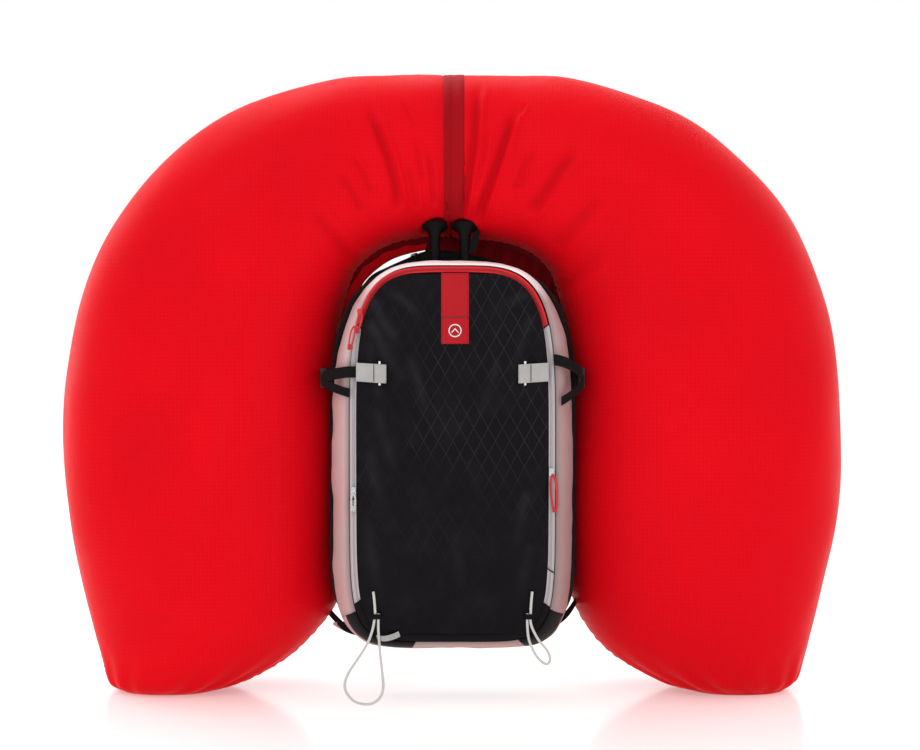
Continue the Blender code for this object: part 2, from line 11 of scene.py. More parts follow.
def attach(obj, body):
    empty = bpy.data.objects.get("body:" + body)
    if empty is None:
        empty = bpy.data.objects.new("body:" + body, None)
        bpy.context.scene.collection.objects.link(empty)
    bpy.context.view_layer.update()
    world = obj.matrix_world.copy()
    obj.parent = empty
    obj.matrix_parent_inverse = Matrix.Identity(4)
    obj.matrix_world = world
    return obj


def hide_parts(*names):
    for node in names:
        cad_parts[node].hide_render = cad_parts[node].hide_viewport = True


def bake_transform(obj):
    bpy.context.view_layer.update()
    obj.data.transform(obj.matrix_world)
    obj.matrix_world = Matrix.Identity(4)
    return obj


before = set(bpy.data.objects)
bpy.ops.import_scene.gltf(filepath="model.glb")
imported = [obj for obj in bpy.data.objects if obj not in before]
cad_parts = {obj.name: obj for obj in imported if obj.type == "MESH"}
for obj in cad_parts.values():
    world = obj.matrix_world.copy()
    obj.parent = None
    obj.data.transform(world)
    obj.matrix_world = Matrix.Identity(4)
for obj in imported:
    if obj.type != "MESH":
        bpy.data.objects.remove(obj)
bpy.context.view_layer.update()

# Outlines in XZ, as in the frame: half width, half height, centre height, powers above and below.
PANEL = (0.125, 0.2405, 0.3412, 4.1, 6.0)
ZIP_LINE = (0.1308, 0.2465, 0.341, 4.0, 6.0)
GUSSET_FRONT = (0.1366, 0.2524, 0.3405, 4.0, 6.0)
GUSSET_REAR = (0.163, 0.265, 0.335, 3.3, 6.0)
BACK = (0.16, 0.268, 0.335, 3.2, 6.0)
# The front panel's face at its edge and how far it bulges, the zips, the light and the rear cloth, in Y.
FRONT_Y, BULGE, ZIP_Y = -0.15, 0.015, -0.1495
GUSSET_Y = (-0.148, -0.06)
REAR_Y = (-0.0575, 0.0045)
# The chambers' middle plane, the power of their sections, where they meet and where the intakes enter.
AIR_Y, AIR_POWER, SPLIT_X = 0.015, 2.3, -0.004
INLET_X = (-0.0245, 0.0165)
# Sections along a chamber, join to foot: outer X and Z, inner X and Z, half depth.
STATIONS = (
    (0.0, 0.86, 0.0, 0.634, 0.105), (0.085, 0.8585, 0.024, 0.6335, 0.114),
    (0.17, 0.852, 0.047, 0.632, 0.125), (0.3, 0.813, 0.086, 0.6235, 0.14),
    (0.4, 0.742, 0.118, 0.606, 0.15), (0.4705, 0.655, 0.144, 0.576, 0.155),
    (0.517, 0.55, 0.16, 0.53, 0.155), (0.5385, 0.44, 0.1665, 0.43, 0.155),
    (0.5433, 0.33, 0.167, 0.32, 0.155), (0.536, 0.235, 0.1675, 0.22, 0.15),
    (0.519, 0.15, 0.172, 0.138, 0.14), (0.504, 0.085, 0.196, 0.088, 0.12),
    (0.493, 0.042, 0.233, 0.046, 0.098), (0.484, 0.014, 0.286, 0.015, 0.076),
    (0.466, 0.0, 0.333, 0.0, 0.055),
)
# The middle line of a shoulder pad in XYZ, and of a hip wing in XY with its half heights.
PAD_PATH = (
    (0.062, 0.03, 0.522), (0.064, 0.048, 0.552), (0.067, 0.075, 0.562),
    (0.072, 0.1, 0.545), (0.078, 0.114, 0.5), (0.084, 0.119, 0.44),
    (0.09, 0.117, 0.38), (0.096, 0.108, 0.32), (0.1, 0.095, 0.27),
)
WING_PATH = (
    (0.104, 0.03), (0.126, 0.033), (0.143, 0.047), (0.15, 0.074),
    (0.147, 0.105), (0.128, 0.133), (0.1, 0.147), (0.074, 0.152),
)
WING_HALF = (0.045, 0.045, 0.044, 0.042, 0.038, 0.032, 0.025, 0.019)
BELT_Z, STERNUM_Z = 0.168, 0.455
BUCKLE = (0.1735, 0.4425)  # the compression buckles' X and Z
SIDES = ((-1, "left"), (1, "right"))


# ---------------------------------------------------------------- materials


def shade(colour, factor):
    """A darker or paler tone of a colour."""
    return tuple(min(1, c * factor) for c in colour)


class Net:
    """A material's node tree, with short calls for the nodes used here."""

    def __init__(self, name, colour, rough, **sockets):
        self.mat = bpy.data.materials.new(name)
        self.mat.use_nodes = True
        self.tree = self.mat.node_tree
        self.shader = self.tree.nodes["Principled BSDF"]
        self.heights = []
        self.put_all(self.shader, Base_Color=(*colour, 1.0), Roughness=rough, **sockets)

    def put(self, socket, value):
        if isinstance(value, bpy.types.NodeSocket):
            self.tree.links.new(value, socket)
        else:
            socket.default_value = value

    def put_all(self, node, **inputs):
        for key, value in inputs.items():
            self.put(node.inputs[key.replace("_", " ")], value)

    def node(self, kind, **inputs):
        made = self.tree.nodes.new("ShaderNode" + kind)
        self.put_all(made, **inputs)
        return made

    def math(self, op, *values):
        made = self.node("Math")
        made.operation = op
        for socket, value in zip(made.inputs, values):
            self.put(socket, value)
        return made.outputs[0]

    def times(self, a, b):
        return self.math("MULTIPLY", a, b)

    def split(self, vector):
        return self.node("SeparateXYZ", Vector=vector).outputs

    def place(self):
        """The place on the object, in metres."""
        return self.node("TexCoord").outputs["Object"]

    def attribute(self, name):
        made = self.node("Attribute")
        made.attribute_name = name
        return made.outputs["Fac"]

    def noise(self, scale, detail=3.0, rough=0.5, stretch=(1, 1, 1)):
        mapping = self.node("Mapping", Scale=stretch, Vector=self.place())
        return self.node("TexNoise", Scale=scale, Detail=detail, Roughness=rough,
                         Vector=mapping.outputs[0]).outputs["Fac"]

    def remap(self, value, low, high, to_low=0.0, to_high=1.0):
        return self.node("MapRange", Value=value, From_Min=low, From_Max=high, To_Min=to_low,
                         To_Max=to_high).outputs[0]

    def line(self, value, pitch, width, at=0.5):
        """1 on a line of this width every pitch, in the units of value, and 0 between."""
        phase = self.math("FRACT", self.math("DIVIDE", value, pitch))
        away = self.math("ABSOLUTE", self.math("SUBTRACT", phase, at))
        half = width / pitch / 2
        return self.remap(away, half * 0.5, half * 1.5, 1.0, 0.0)

    def blend(self, factor, a, b, amount=None):
        """From colour a to colour b by a factor, which amount scales."""
        made = self.node("Mix")
        made.data_type = "RGBA"
        self.put(made.inputs["Factor"], self.times(factor, amount) if amount else factor)
        for key, value in (("A", a), ("B", b)):
            socket = [s for s in made.inputs if s.name == key and s.type == "RGBA"][0]
            self.put(socket, (*value, 1.0) if isinstance(value, tuple) else value)
        return [s for s in made.outputs if s.type == "RGBA"][0]

    def bump(self, value, depth):
        """Adds a height in metres: value times depth."""
        self.heights.append(self.times(value, depth))

    def done(self, **sockets):
        """The material, with these last inputs of its shader."""
        self.put_all(self.shader, **sockets)
        total = self.heights[0]
        for more in self.heights[1:]:
            total = self.math("ADD", total, more)
        bump = self.node("Bump", Distance=1.0, Strength=1.0, Height=total)
        self.put_all(self.shader, Normal=bump.outputs[0])
        return self.mat


def facing(net, axis):
    """How far the surface turns away from one axis: 0 where it faces it, 1 edge on."""
    normal = net.split(net.node("NewGeometry").outputs["True Normal"])
    return net.remap(net.math("ABSOLUTE", normal[axis]), 0.55, 0.85, 1.0, 0.0)


def ripstop(name, colour, deep, rough=0.42, pitch=0.0055):
    """Thin air cloth: a grid of thicker threads, and painted shade in its folds."""
    net = Net(name, colour, rough, Sheen_Weight=0.6, Sheen_Roughness=0.27,
              Sheen_Tint=(1.0, 0.12, 0.11, 1.0), Specular_IOR_Level=0.03)
    lines = 0.0
    for axis, value in enumerate(net.split(net.place())):
        one = net.times(net.line(value, pitch, 0.0007), facing(net, axis))
        lines = one if axis == 0 else net.math("MAXIMUM", lines, one)
    base = net.blend(net.remap(net.noise(4.0, 2.0), 0.35, 0.7), colour, deep, 0.4)
    # Painted shade where the skin is drawn in: creases, seams, hems and gathers.
    base = net.blend(net.remap(net.attribute("fold"), 0.0, 1.0), base, shade(deep, 0.3))
    net.bump(lines, 0.0001)
    net.bump(net.noise(26.0, 3.0, 0.55), 0.0009)
    net.bump(net.noise(900.0, 1.0), 0.00004)
    return net.done(Base_Color=net.blend(lines, base, shade(deep, 0.6), 0.17),
                    Roughness=net.remap(net.noise(14.0, 2.0), 0.3, 0.7, rough - 0.05, rough + 0.09))


def laminate(name):
    """Coated front cloth: two crossing sets of threads under the coat, and painted highlights along its
    creases.
    """
    dark, worn_tone = (0.005, 0.004, 0.0052), (0.014, 0.013, 0.016)
    streak_tone, thread_tone = (0.03, 0.027, 0.032), (0.034, 0.031, 0.035)
    wide, tall, thread = 0.019, 0.0345, 0.055
    net = Net(name, dark, 0.38, Specular_IOR_Level=0.055)
    x, _, z = net.split(net.place())
    drift = net.times(net.math("SUBTRACT", net.noise(16.0, 2.0), 0.5), 0.006)
    across = net.math("DIVIDE", net.math("ADD", x, drift), wide)
    up = net.math("DIVIDE", z, tall)
    one = net.line(net.math("ADD", across, up), 1.0, thread)
    two = net.line(net.math("SUBTRACT", across, up), 1.0, thread)
    patchy = net.remap(net.noise(9.0, 2.0), 0.42, 0.62, 0.15, 1.0)
    # The threads fade towards the bottom of the pack.
    fade = net.remap(z, 0.2, 0.34, 0.12, 1.0)
    seen = net.times(net.times(net.math("MAXIMUM", one, two), patchy), fade)
    base = net.blend(net.remap(net.noise(22.0, 4.0, 0.6), 0.5, 0.75), dark, worn_tone, 0.35)
    # Painted highlight along the creases, broken up by noise.
    streak = net.times(net.attribute("streak"), net.remap(net.noise(35.0), 0.25, 0.7, 0.35, 1.0))
    base = net.blend(streak, base, streak_tone)
    net.bump(seen, 0.00016)
    net.bump(net.noise(40.0, 4.0, 0.6), 0.0012)
    net.bump(net.noise(700.0, 1.0), 0.00005)
    return net.done(Base_Color=net.blend(seen, base, thread_tone, 0.6),
                    Roughness=net.remap(net.noise(30.0), 0.3, 0.7, 0.3, 0.5))


def cloth(name, colour, rough=0.62, pitch=0.0012, crease=0.0007, top=None):
    """Plain woven pack cloth: threads both ways, soft creases, a slight change of tone and painted shade in
    its folds.
    """
    # Tones of the light cloth's painted light: painted shade low down, a painted red reflection, painted
    # shade on the right side.
    low, red_bounce_tone, far = (0.44, 0.3, 0.29), (0.552, 0.2976, 0.2976), (0.27, 0.16, 0.15)
    net = Net(name, colour, rough, Sheen_Weight=0.04, Sheen_Roughness=0.5, Specular_IOR_Level=0.15)
    x, y, z = net.split(net.place())
    weft = net.line(net.math("ADD", x, y), pitch, pitch * 0.5)
    weave = net.times(net.line(z, pitch, pitch * 0.5), weft)
    base = net.blend(net.remap(net.noise(18.0, 4.0), 0.3, 0.7), colour, shade(colour, 0.55), 0.1)
    if top:
        # Painted light on the light cloth: painted shade low down and on the right side, a painted red
        # reflection from the chambers in patches, and a painted highlight along the top.
        base = net.blend(net.remap(z, 0.22, 0.44, 0.75, 0.0), base, low)
        base = net.blend(net.remap(net.noise(9.0, 2.0), 0.42, 0.6), base, red_bounce_tone, 0.6)
        base = net.blend(net.remap(x, 0.06, 0.15, 0.0, 0.55), base, far)
        base = net.blend(net.remap(z, 0.545, 0.58), base, top)
    # Painted shade in the folds and along the seams.
    base = net.blend(net.attribute("fold"), base, shade(colour, 0.35))
    net.bump(weave, 0.00012)
    net.bump(net.noise(32.0, 3.0, 0.55), crease)
    return net.done(Base_Color=net.blend(weave, base, shade(colour, 0.6), 0.12))


def webbing(name, colour, rough=0.7, rib=0.0016):
    """Woven tape: ribs across it and threads along it, from its own coordinates."""
    net = Net(name, colour, rough, Sheen_Weight=0.02, Sheen_Roughness=0.4, Specular_IOR_Level=0.09)
    ribs = net.line(net.attribute("along"), rib, rib * 0.55)
    weave = net.times(ribs, net.line(net.attribute("side"), 0.0011, 0.0006))
    base = net.blend(net.remap(net.noise(60.0), 0.3, 0.7), colour, shade(colour, 1.9), 0.25)
    net.bump(weave, 0.00022)
    return net.done(Base_Color=net.blend(weave, base, shade(colour, 2.6), 0.35))


def zipper(name, tape_tone, teeth, coil=0.0016):
    """A zip tape: woven edges and a coil of teeth along its middle."""
    net = Net(name, tape_tone, 0.55, Specular_IOR_Level=0.25)
    along, side = net.attribute("along"), net.math("ABSOLUTE", net.attribute("side"))
    middle = net.remap(side, 0.001, 0.0016, 1.0, 0.0)
    tooth = net.times(net.line(along, coil, coil * 0.55), middle)
    base = net.blend(tooth, net.blend(middle, tape_tone, teeth), shade(teeth, 1.7), 0.6)
    seam = net.line(side, 1.0, 0.0006, at=0.0036)
    net.bump(tooth, 0.0005)
    net.bump(net.line(along, 0.0009, 0.0004), 0.00006)
    return net.done(Base_Color=net.blend(seam, base, shade(tape_tone, 0.5), 0.5))


def spacer_mesh(name, colour=(0.026, 0.026, 0.029)):
    """Padded air mesh: small round holes in a staggered grid over foam."""
    net = Net(name, colour, 0.85, Sheen_Weight=0.05, Sheen_Roughness=0.6, Specular_IOR_Level=0.15)
    cells = net.node("TexVoronoi", Scale=330.0, Randomness=0.25, Vector=net.place())
    hole = net.remap(cells.outputs["Distance"], 0.18, 0.34, 1.0, 0.0)
    net.bump(hole, -0.0005)
    net.bump(net.noise(30.0), 0.0006)
    # The holes are darker: painted shade in them.
    return net.done(Base_Color=net.blend(hole, colour, shade(colour, 0.25)))


def moulded(name, colour, rough=0.42, shine=0.3):
    """Moulded plastic or rubber, slightly uneven in tone and shine."""
    net = Net(name, colour, rough, Specular_IOR_Level=shine)
    tone = net.remap(net.noise(45.0), 0.3, 0.75)
    net.bump(net.noise(1200.0, 2.0), 0.00005)
    return net.done(Base_Color=net.blend(tone, colour, shade(colour, 1.8), 0.3),
                    Roughness=net.remap(net.noise(90.0), 0.3, 0.7, rough - 0.08, rough + 0.12))


def brushed(name, colour, rough=0.28):
    """Metal with a fine grain along Z."""
    net = Net(name, colour, rough, Metallic=1.0)
    grain = net.noise(260.0, 3.0, 0.6, stretch=(1, 1, 14))
    net.bump(grain, 0.00004)
    return net.done(Base_Color=net.blend(grain, colour, shade(colour, 0.6), 0.35),
                    Roughness=net.remap(grain, 0.3, 0.7, rough - 0.06, rough + 0.14))


def braid(name, colour):
    """Kernmantle cord: two crossing sets of strands."""
    net = Net(name, colour, 0.6, Sheen_Weight=0.2)
    along, side = net.attribute("along"), net.attribute("side")
    strands = net.math("MAXIMUM", *(net.line(net.math(op, along, side), 0.0022, 0.0008)
                                    for op in ("ADD", "SUBTRACT")))
    net.bump(strands, -0.00018)
    return net.done(Base_Color=net.blend(strands, colour, shade(colour, 0.55), 0.35))


# Each finish, with the name of a slot beside it.
MATS = {
    "air": (ripstop("air_ripstop", (0.69, 0.0022, 0.0085), (0.53, 0.0016, 0.007)), "air_ripstop"),
    "double": (ripstop("doubled_ripstop", (0.34, 0.004, 0.008), (0.22, 0.003, 0.006), 0.48),
               "dark_red_cloth"),
    # The skirt cloth is the red ripstop darkened by painted shade.
    "skirt": (ripstop("skirt_cloth", (0.2, 0.003, 0.007), (0.1, 0.002, 0.004), 0.55),
              "dark_red_cloth"),
    "lacing": (webbing("dark_red_tape", (0.16, 0.003, 0.006)), "dark_red_cloth"),
    "laminate": (laminate("diamond_laminate"), "laminate"),
    # Its top colour is a painted highlight; cloth also gives it painted shade and a painted red reflection.
    "light": (cloth("light_pack_cloth", (0.6, 0.48, 0.48), top=(1.0, 0.95, 0.95)), "light_cloth"),
    "black": (cloth("black_pack_cloth", (0.0065, 0.0058, 0.0068), 0.7, crease=0.0008),
              "black_webbing"),
    "red_cloth": (cloth("red_coated_cloth", (0.42, 0.0035, 0.009), 0.45, pitch=0.0009,
                        crease=0.0009), "red_trim"),
    "web": (webbing("black_webbing", (0.004, 0.0036, 0.0042)), "black_webbing"),
    "grey_web": (webbing("grey_webbing", (0.31, 0.3, 0.29), 0.55), "light_cloth"),
    "red_zip": (zipper("red_zip", (0.62, 0.012, 0.02), (0.3, 0.01, 0.014)), "red_trim"),
    "grey_zip": (zipper("grey_zip", (0.44, 0.4, 0.4), (0.31, 0.28, 0.3)), "light_cloth"),
    "mesh": (spacer_mesh("spacer_mesh"), "foam"),
    "plastic": (moulded("black_plastic", (0.0085, 0.0085, 0.0092)), "plastic"),
    "horn": (moulded("intake_plastic", (0.003, 0.0026, 0.0032), 0.5, shine=0.1), "plastic"),
    "red_plastic": (moulded("red_plastic", (0.6, 0.015, 0.02), 0.38), "red_trim"),
    "white_plastic": (moulded("white_plastic", (0.72, 0.72, 0.7), 0.4), "light_cloth"),
    "rubber": (moulded("valve_rubber", (0.3, 0.02, 0.02), 0.6), "red_trim"),
    "steel": (brushed("brushed_steel", (0.55, 0.55, 0.57)), "steel"),
    "alu": (brushed("anodised_aluminium", (0.7, 0.71, 0.73), 0.3), "steel"),
    "cord": (braid("grey_cord", (0.62, 0.62, 0.6)), "cord"),
    "red_cord": (braid("red_cord", (0.6, 0.012, 0.02)), "red_trim"),
    "thread": (moulded("thread", (0.03, 0.028, 0.03), 0.6), "light_cloth"),
}


# ---------------------------------------------------------------- geometry helpers


def spread(start, end, count):
    return [start + (end - start) * i / (count - 1) for i in range(count)]


def turns(count):
    """The angles of a full turn in this many steps."""
    return spread(0, 2 * math.pi, count + 1)[:-1]


def mix(a, b, t):
    return tuple(p + (q - p) * t for p, q in zip(a, b))


def grown(shape, by):
    return (shape[0] + by, shape[1] + by, *shape[2:])


def smooth(t):
    t = min(1.0, max(0.0, t))
    return t * t * (3 - 2 * t)


def catmull(values, steps):
    result, last = [], len(values) - 1
    for i in range(last):
        a, b = values[max(i - 1, 0)], values[i]
        c, d = values[i + 1], values[min(i + 2, last)]
        for k in range(steps):
            t = k / steps
            result.append(tuple(
                0.5 * (2 * q + (r - p) * t + (2 * p - 5 * q + 4 * r - s) * t * t
                       + (3 * q - p - 3 * r + s) * t**3)
                for p, q, r, s in zip(a, b, c, d)))
    result.append(tuple(values[last]))
    return result


def lengths(line):
    """The length along a line, up to each of its points."""
    result = [0.0]
    for a, b in zip(line, line[1:]):
        result.append(result[-1] + (Vector(b) - Vector(a)).length)
    return result


def lifted(z):
    """The cloth hangs a little short of the frame's base, where nothing is packed."""
    return z + 0.0055 * smooth((0.165 - z) / 0.075)


def outline_point(shape, place):
    """As in the frame: 0-1 up the right, 1-2 over the top, 2-3 down the left, 3-4 the bottom."""
    width, height, middle, above, below = shape
    side, along = int(place) % 4, 2 * (place - int(place)) - 1
    if side in (0, 2):
        up = along if side == 0 else -along
        power = above if up > 0 else below
        v = up * 0.5 ** (1 / power)
        x = width * (1 - abs(v) ** power) ** (1 / power)
        return (x if side == 0 else -x, lifted(middle + height * v))
    power = above if side == 1 else below
    u = (-along if side == 1 else along) * 0.5 ** (1 / power)
    rise = height * (1 - abs(u) ** power) ** (1 / power)
    return (width * u, lifted(middle + rise if side == 1 else middle - rise))


def panel_y(x, z):
    up = min(1.0, abs((z - PANEL[2]) / PANEL[1]))
    out = min(1.0, abs(x / PANEL[0]))
    return FRONT_Y - BULGE * (1 - out**2.5) * (1 - up**4)


def wobble(p, scale, seed=0.0):
    return noise.noise(Vector(p) * scale + Vector((seed, seed * 0.7, -seed)))


def link(obj, mat, body="pack", nodes=()):
    """Puts a piece in the scene with its finish and body, and hides the CAD nodes it stands for."""
    bpy.context.scene.collection.objects.link(obj)
    obj.data.materials.append(MATS[mat][0])
    obj.data.polygons.foreach_set("use_smooth", [True] * len(obj.data.polygons))
    if body:
        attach(obj, body)
    if nodes:
        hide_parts(*nodes)
    return obj


def surface(name, rows, closed=False, caps=False, **values):
    """A mesh through rows of points; values are attributes by name, a number for each point."""
    mesh = bpy.data.meshes.new(name)
    count = len(rows[0])
    points = [tuple(p) for row in rows for p in row]
    faces = []
    for r in range(len(rows) - 1):
        for i in range(count if closed else count - 1):
            j = (i + 1) % count
            faces.append((r * count + i, r * count + j, (r + 1) * count + j, (r + 1) * count + i))
    if caps:
        faces.append(tuple(range(count))[::-1])
        faces.append(tuple((len(rows) - 1) * count + i for i in range(count)))
    mesh.from_pydata(points, [], faces)
    for key, table in values.items():
        layer = mesh.attributes.new(key, "FLOAT", "POINT")
        layer.data.foreach_set("value", [v for row in table for v in row])
    mesh.update()
    return bpy.data.objects.new(name, mesh)


def outward(obj):
    """Turns a closed mesh's faces outward."""
    bm = bmesh.new()
    bm.from_mesh(obj.data)
    bmesh.ops.recalc_face_normals(bm, faces=bm.faces)
    bm.to_mesh(obj.data)
    bm.free()
    return obj


def thicken(obj, thickness, round_edge=0.0):
    modifier = obj.modifiers.new("thickness", "SOLIDIFY")
    modifier.thickness = thickness
    modifier.offset = 0.0
    modifier.use_even_offset = True
    if round_edge:
        edge = obj.modifiers.new("edge", "BEVEL")
        edge.width = round_edge
        edge.segments = 2
        edge.limit_method = "ANGLE"
        edge.angle_limit = math.radians(50)
    return obj


def tape(name, path, across, width, thickness, mat="web", body="pack", nodes=(), steps=6):
    """Webbing along a smooth path; across is its width's direction, one for all or one a point."""
    fine = catmull(path, steps)
    if not isinstance(across[0], (tuple, Vector)):
        across = [across] * len(path)
    sides = catmull([tuple(Vector(a).normalized()) for a in across], steps)
    offsets = spread(-width / 2, width / 2, 5)
    rows = [[Vector(p) + Vector(a).normalized() * o for o in offsets] for p, a in zip(fine, sides)]
    obj = surface(name, rows, along=[[run] * len(offsets) for run in lengths(fine)],
                  side=[offsets] * len(rows))
    thicken(obj, thickness, round_edge=min(0.0004, thickness * 0.3))
    return link(obj, mat, body, nodes)


def rope(name, fine, radius, mat, body="pack", nodes=(), sides=12):
    """A round cord along these points, with its own length along it, for the braid."""
    line = [Vector(p) for p in fine]
    rows, up = [], Vector((0, 1, 0))
    for i, p in enumerate(line):
        heading = (line[min(i + 1, len(line) - 1)] - line[max(i - 1, 0)]).normalized()
        a = heading.cross(up)
        a = a.normalized() if a.length > 1e-4 else Vector((1, 0, 0))
        b = heading.cross(a).normalized()
        up = -b if b.dot(up) < 0 else b
        rows.append([p + a * (math.cos(t) * radius) + up * (math.sin(t) * radius) for t in turns(sides)])
    round_it = [t * radius for t in turns(sides)]
    obj = surface(name, rows, closed=True, caps=True, along=[[run] * sides for run in lengths(line)],
                  side=[round_it] * len(rows))
    return link(outward(obj), mat, body, nodes)


def rounded_block(name, centre, size, edge, mat):
    mesh = bpy.data.meshes.new(name)
    bm = bmesh.new()
    bmesh.ops.create_cube(bm, size=1.0)
    bmesh.ops.scale(bm, vec=size, verts=bm.verts)
    bmesh.ops.translate(bm, vec=centre, verts=bm.verts)
    bmesh.ops.bevel(bm, geom=bm.edges[:], offset=edge, segments=3, affect="EDGES", profile=0.5,
                    clamp_overlap=True)
    bm.to_mesh(mesh)
    bm.free()
    return link(bpy.data.objects.new(name, mesh), mat)


def moulding(name, shapes, place, mat, body="pack", nodes=()):
    """Bevelled plates made into one piece: each shape is (outline, low, high, edge), set by place."""
    bm = bmesh.new()
    for outline, low, high, edge in shapes:
        ends = [[bm.verts.new(place(u, v, w)) for u, v in outline] for w in (low, high)]
        count = len(outline)
        faces = [bm.faces.new(ends[0]), bm.faces.new(ends[1])]
        for i in range(count):
            j = (i + 1) % count
            faces.append(bm.faces.new((ends[0][i], ends[0][j], ends[1][j], ends[1][i])))
        bmesh.ops.recalc_face_normals(bm, faces=faces)
        rims = list({e for f in faces[:2] for e in f.edges})
        bmesh.ops.bevel(bm, geom=rims, offset=edge, segments=2, affect="EDGES", profile=0.5,
                        clamp_overlap=True)
    mesh = bpy.data.meshes.new(name)
    bm.to_mesh(mesh)
    bm.free()
    obj = link(bpy.data.objects.new(name, mesh), mat, body, nodes)
    mesh.set_sharp_from_angle(angle=math.radians(38))
    return obj


def repaint(nodes, mat):
    for node in nodes:
        for material_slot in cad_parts[node].material_slots:
            material_slot.material = MATS[mat][0]


# ---------------------------------------------------------------- air chambers

# Creases on the front of the chambers: width and depth in metres, then the line in XZ.
CREASES = (
    (0.0062, 0.0054, ((0.0365, 0.848), (0.0315, 0.801), (0.0268, 0.756), (0.02, 0.7115),
                      (0.0125, 0.664))),
    (0.0068, 0.0058, ((0.09, 0.815), (0.0745, 0.778), (0.0612, 0.738), (0.0458, 0.694),
                      (0.034, 0.66))),
    (0.004, 0.0026, ((0.102, 0.744), (0.092, 0.722), (0.082, 0.696))),
    (0.004, 0.002, ((0.113, 0.754), (0.101, 0.728), (0.09, 0.698))),
    (0.009, 0.0042, ((0.168, 0.751), (0.1461, 0.7249), (0.1238, 0.6937), (0.105, 0.668))),
    (0.0045, 0.0018, ((0.048, 0.79), (0.04, 0.74), (0.03, 0.695))),
    (0.0066, 0.005, ((-0.116, 0.811), (-0.0991, 0.7717), (-0.0856, 0.7361), (-0.0757, 0.6982),
                      (-0.0725, 0.674))),
    (0.0045, 0.0026, ((-0.137, 0.744), (-0.1214, 0.7204), (-0.108, 0.69))),
    (0.006, 0.0032, ((-0.152, 0.721), (-0.1347, 0.6937), (-0.122, 0.668))),
    (0.0045, 0.0022, ((-0.053, 0.766), (-0.046, 0.74), (-0.04, 0.71))),
    (0.0045, 0.0026, ((-0.033, 0.752), (-0.0275, 0.715), (-0.0245, 0.676))),
    (0.0038, 0.0018, ((-0.068, 0.813), (-0.058, 0.796), (-0.05, 0.78))),
    (0.0048, 0.002, ((-0.062, 0.735), (-0.052, 0.7), (-0.048, 0.67))),
    (0.0028, 0.0016, ((0.099, 0.813), (0.092, 0.796))),
    (0.01, 0.0026, ((0.2, 0.69), (0.17, 0.656), (0.14, 0.62))),
    (0.01, 0.0026, ((-0.19, 0.67), (-0.164, 0.64), (-0.14, 0.606))),
    (0.011, 0.0018, ((0.205, 0.62), (0.15, 0.565))),
)


AROUND, STATION_STEPS = 260, 24
SKIN_GAP = 0.0004  # from each skin to the plane where the chambers meet
CHAMBER_RUN = 1.35  # the length along a chamber
# How far the skin moves at its swells, seams, lacing, foot folds, join and intake pockets.
SWELL, SEAM_DRAW, LACE_DRAW, FOOT_DRAW, JOIN_DRAW = 0.0016, 0.0016, 0.0012, 0.0018, 0.003
POCKET, POCKET_Y = 0.0165, -0.041


def bell(away, width):
    """1 at no distance away, falling to nothing over about twice this width."""
    return np.exp(-((away / width) ** 2))


def chamber_rings(side):
    """The chamber's skin as an array of points, ring by ring, before any creases."""
    pick = catmull(STATIONS, STATION_STEPS)
    angle = np.linspace(0, 2 * math.pi, AROUND, endpoint=False)
    c, s = np.cos(angle), np.sin(angle)
    c = np.sign(c) * np.abs(c) ** (2 / AIR_POWER)
    s = np.sign(s) * np.abs(s) ** (2 / AIR_POWER)
    rings, start = [], SPLIT_X + side * SKIN_GAP
    for i, (ox, oz, ix, iz, half) in enumerate(pick):
        # The inner skin bows towards the pack, on the left most of all near the foot.
        ix -= 0.007 * smooth((0.6 - iz) / 0.05) * smooth((iz - 0.02) / 0.08)
        if side < 0:
            ix -= 0.006 * math.exp(-(((iz - 0.125) / 0.03) ** 2))
        x = ((ox + ix) / 2 + (ox - ix) / 2 * c) * side
        z = (oz + iz) / 2 + (oz - iz) / 2 * c
        y = AIR_Y + half * s
        if i == 0:
            x = np.full_like(x, start)
        x = (np.maximum if side > 0 else np.minimum)(x, start)
        rings.append(np.stack([x, y, np.maximum(z, 0.0)], axis=1))
    return np.array(rings), angle


def normals_of(rings):
    """Outward normals of a ring mesh, from its neighbours."""
    ahead = np.gradient(rings, axis=0)
    round_it = np.roll(rings, -1, axis=1) - np.roll(rings, 1, axis=1)
    n = np.cross(ahead, round_it)
    length = np.linalg.norm(n, axis=2, keepdims=True)
    n = n / np.maximum(length, 1e-12)
    centre = rings.mean(axis=1, keepdims=True)
    flip = np.sign(((rings - centre) * n).sum(axis=2, keepdims=True))
    return n * np.where(flip == 0, 1, flip)


def crease_depth(x, z, front):
    """How far the creases draw the front skin in, and how much painted shade their folds get."""
    depth, dark = np.zeros_like(x), np.zeros_like(x)
    for width, deep, line in CREASES:
        run, total = 0.0, sum(math.dist(a, b) for a, b in zip(line, line[1:]))
        near, off, at = np.full_like(x, 9.0), np.zeros_like(x), np.zeros_like(x)
        for (ax, az), (bx, bz) in zip(line, line[1:]):
            dx, dz = bx - ax, bz - az
            length = math.hypot(dx, dz)
            t = ((x - ax) * dx + (z - az) * dz) / length**2
            held = np.clip(t, 0, 1)
            away = np.hypot(x - ax - held * dx, z - az - held * dz)
            closer = away < near
            near = np.where(closer, away, near)
            side = np.sign((x - ax) * dz - (z - az) * dx)
            off = np.where(closer, away * side, off)
            at = np.where(closer, (run + t * length) / total, at)
            run += length
        fade = np.clip(at * 3.5, 0, 1) * np.clip((1.1 - at) * 5, 0, 1)
        fade = fade * fade * (3 - 2 * fade)
        valley = bell(off, width)
        # The cloth stands up in a ridge along one side of each fold.
        ridge = 0.75 * bell(off + width * 1.5, width * 0.55)
        depth += deep * fade * (valley - ridge)
        # Painted shade in the middle of each fold.
        dark = np.maximum(dark, deep / 0.006 * fade * bell(off, width * 0.8))
    return depth * front, dark * front


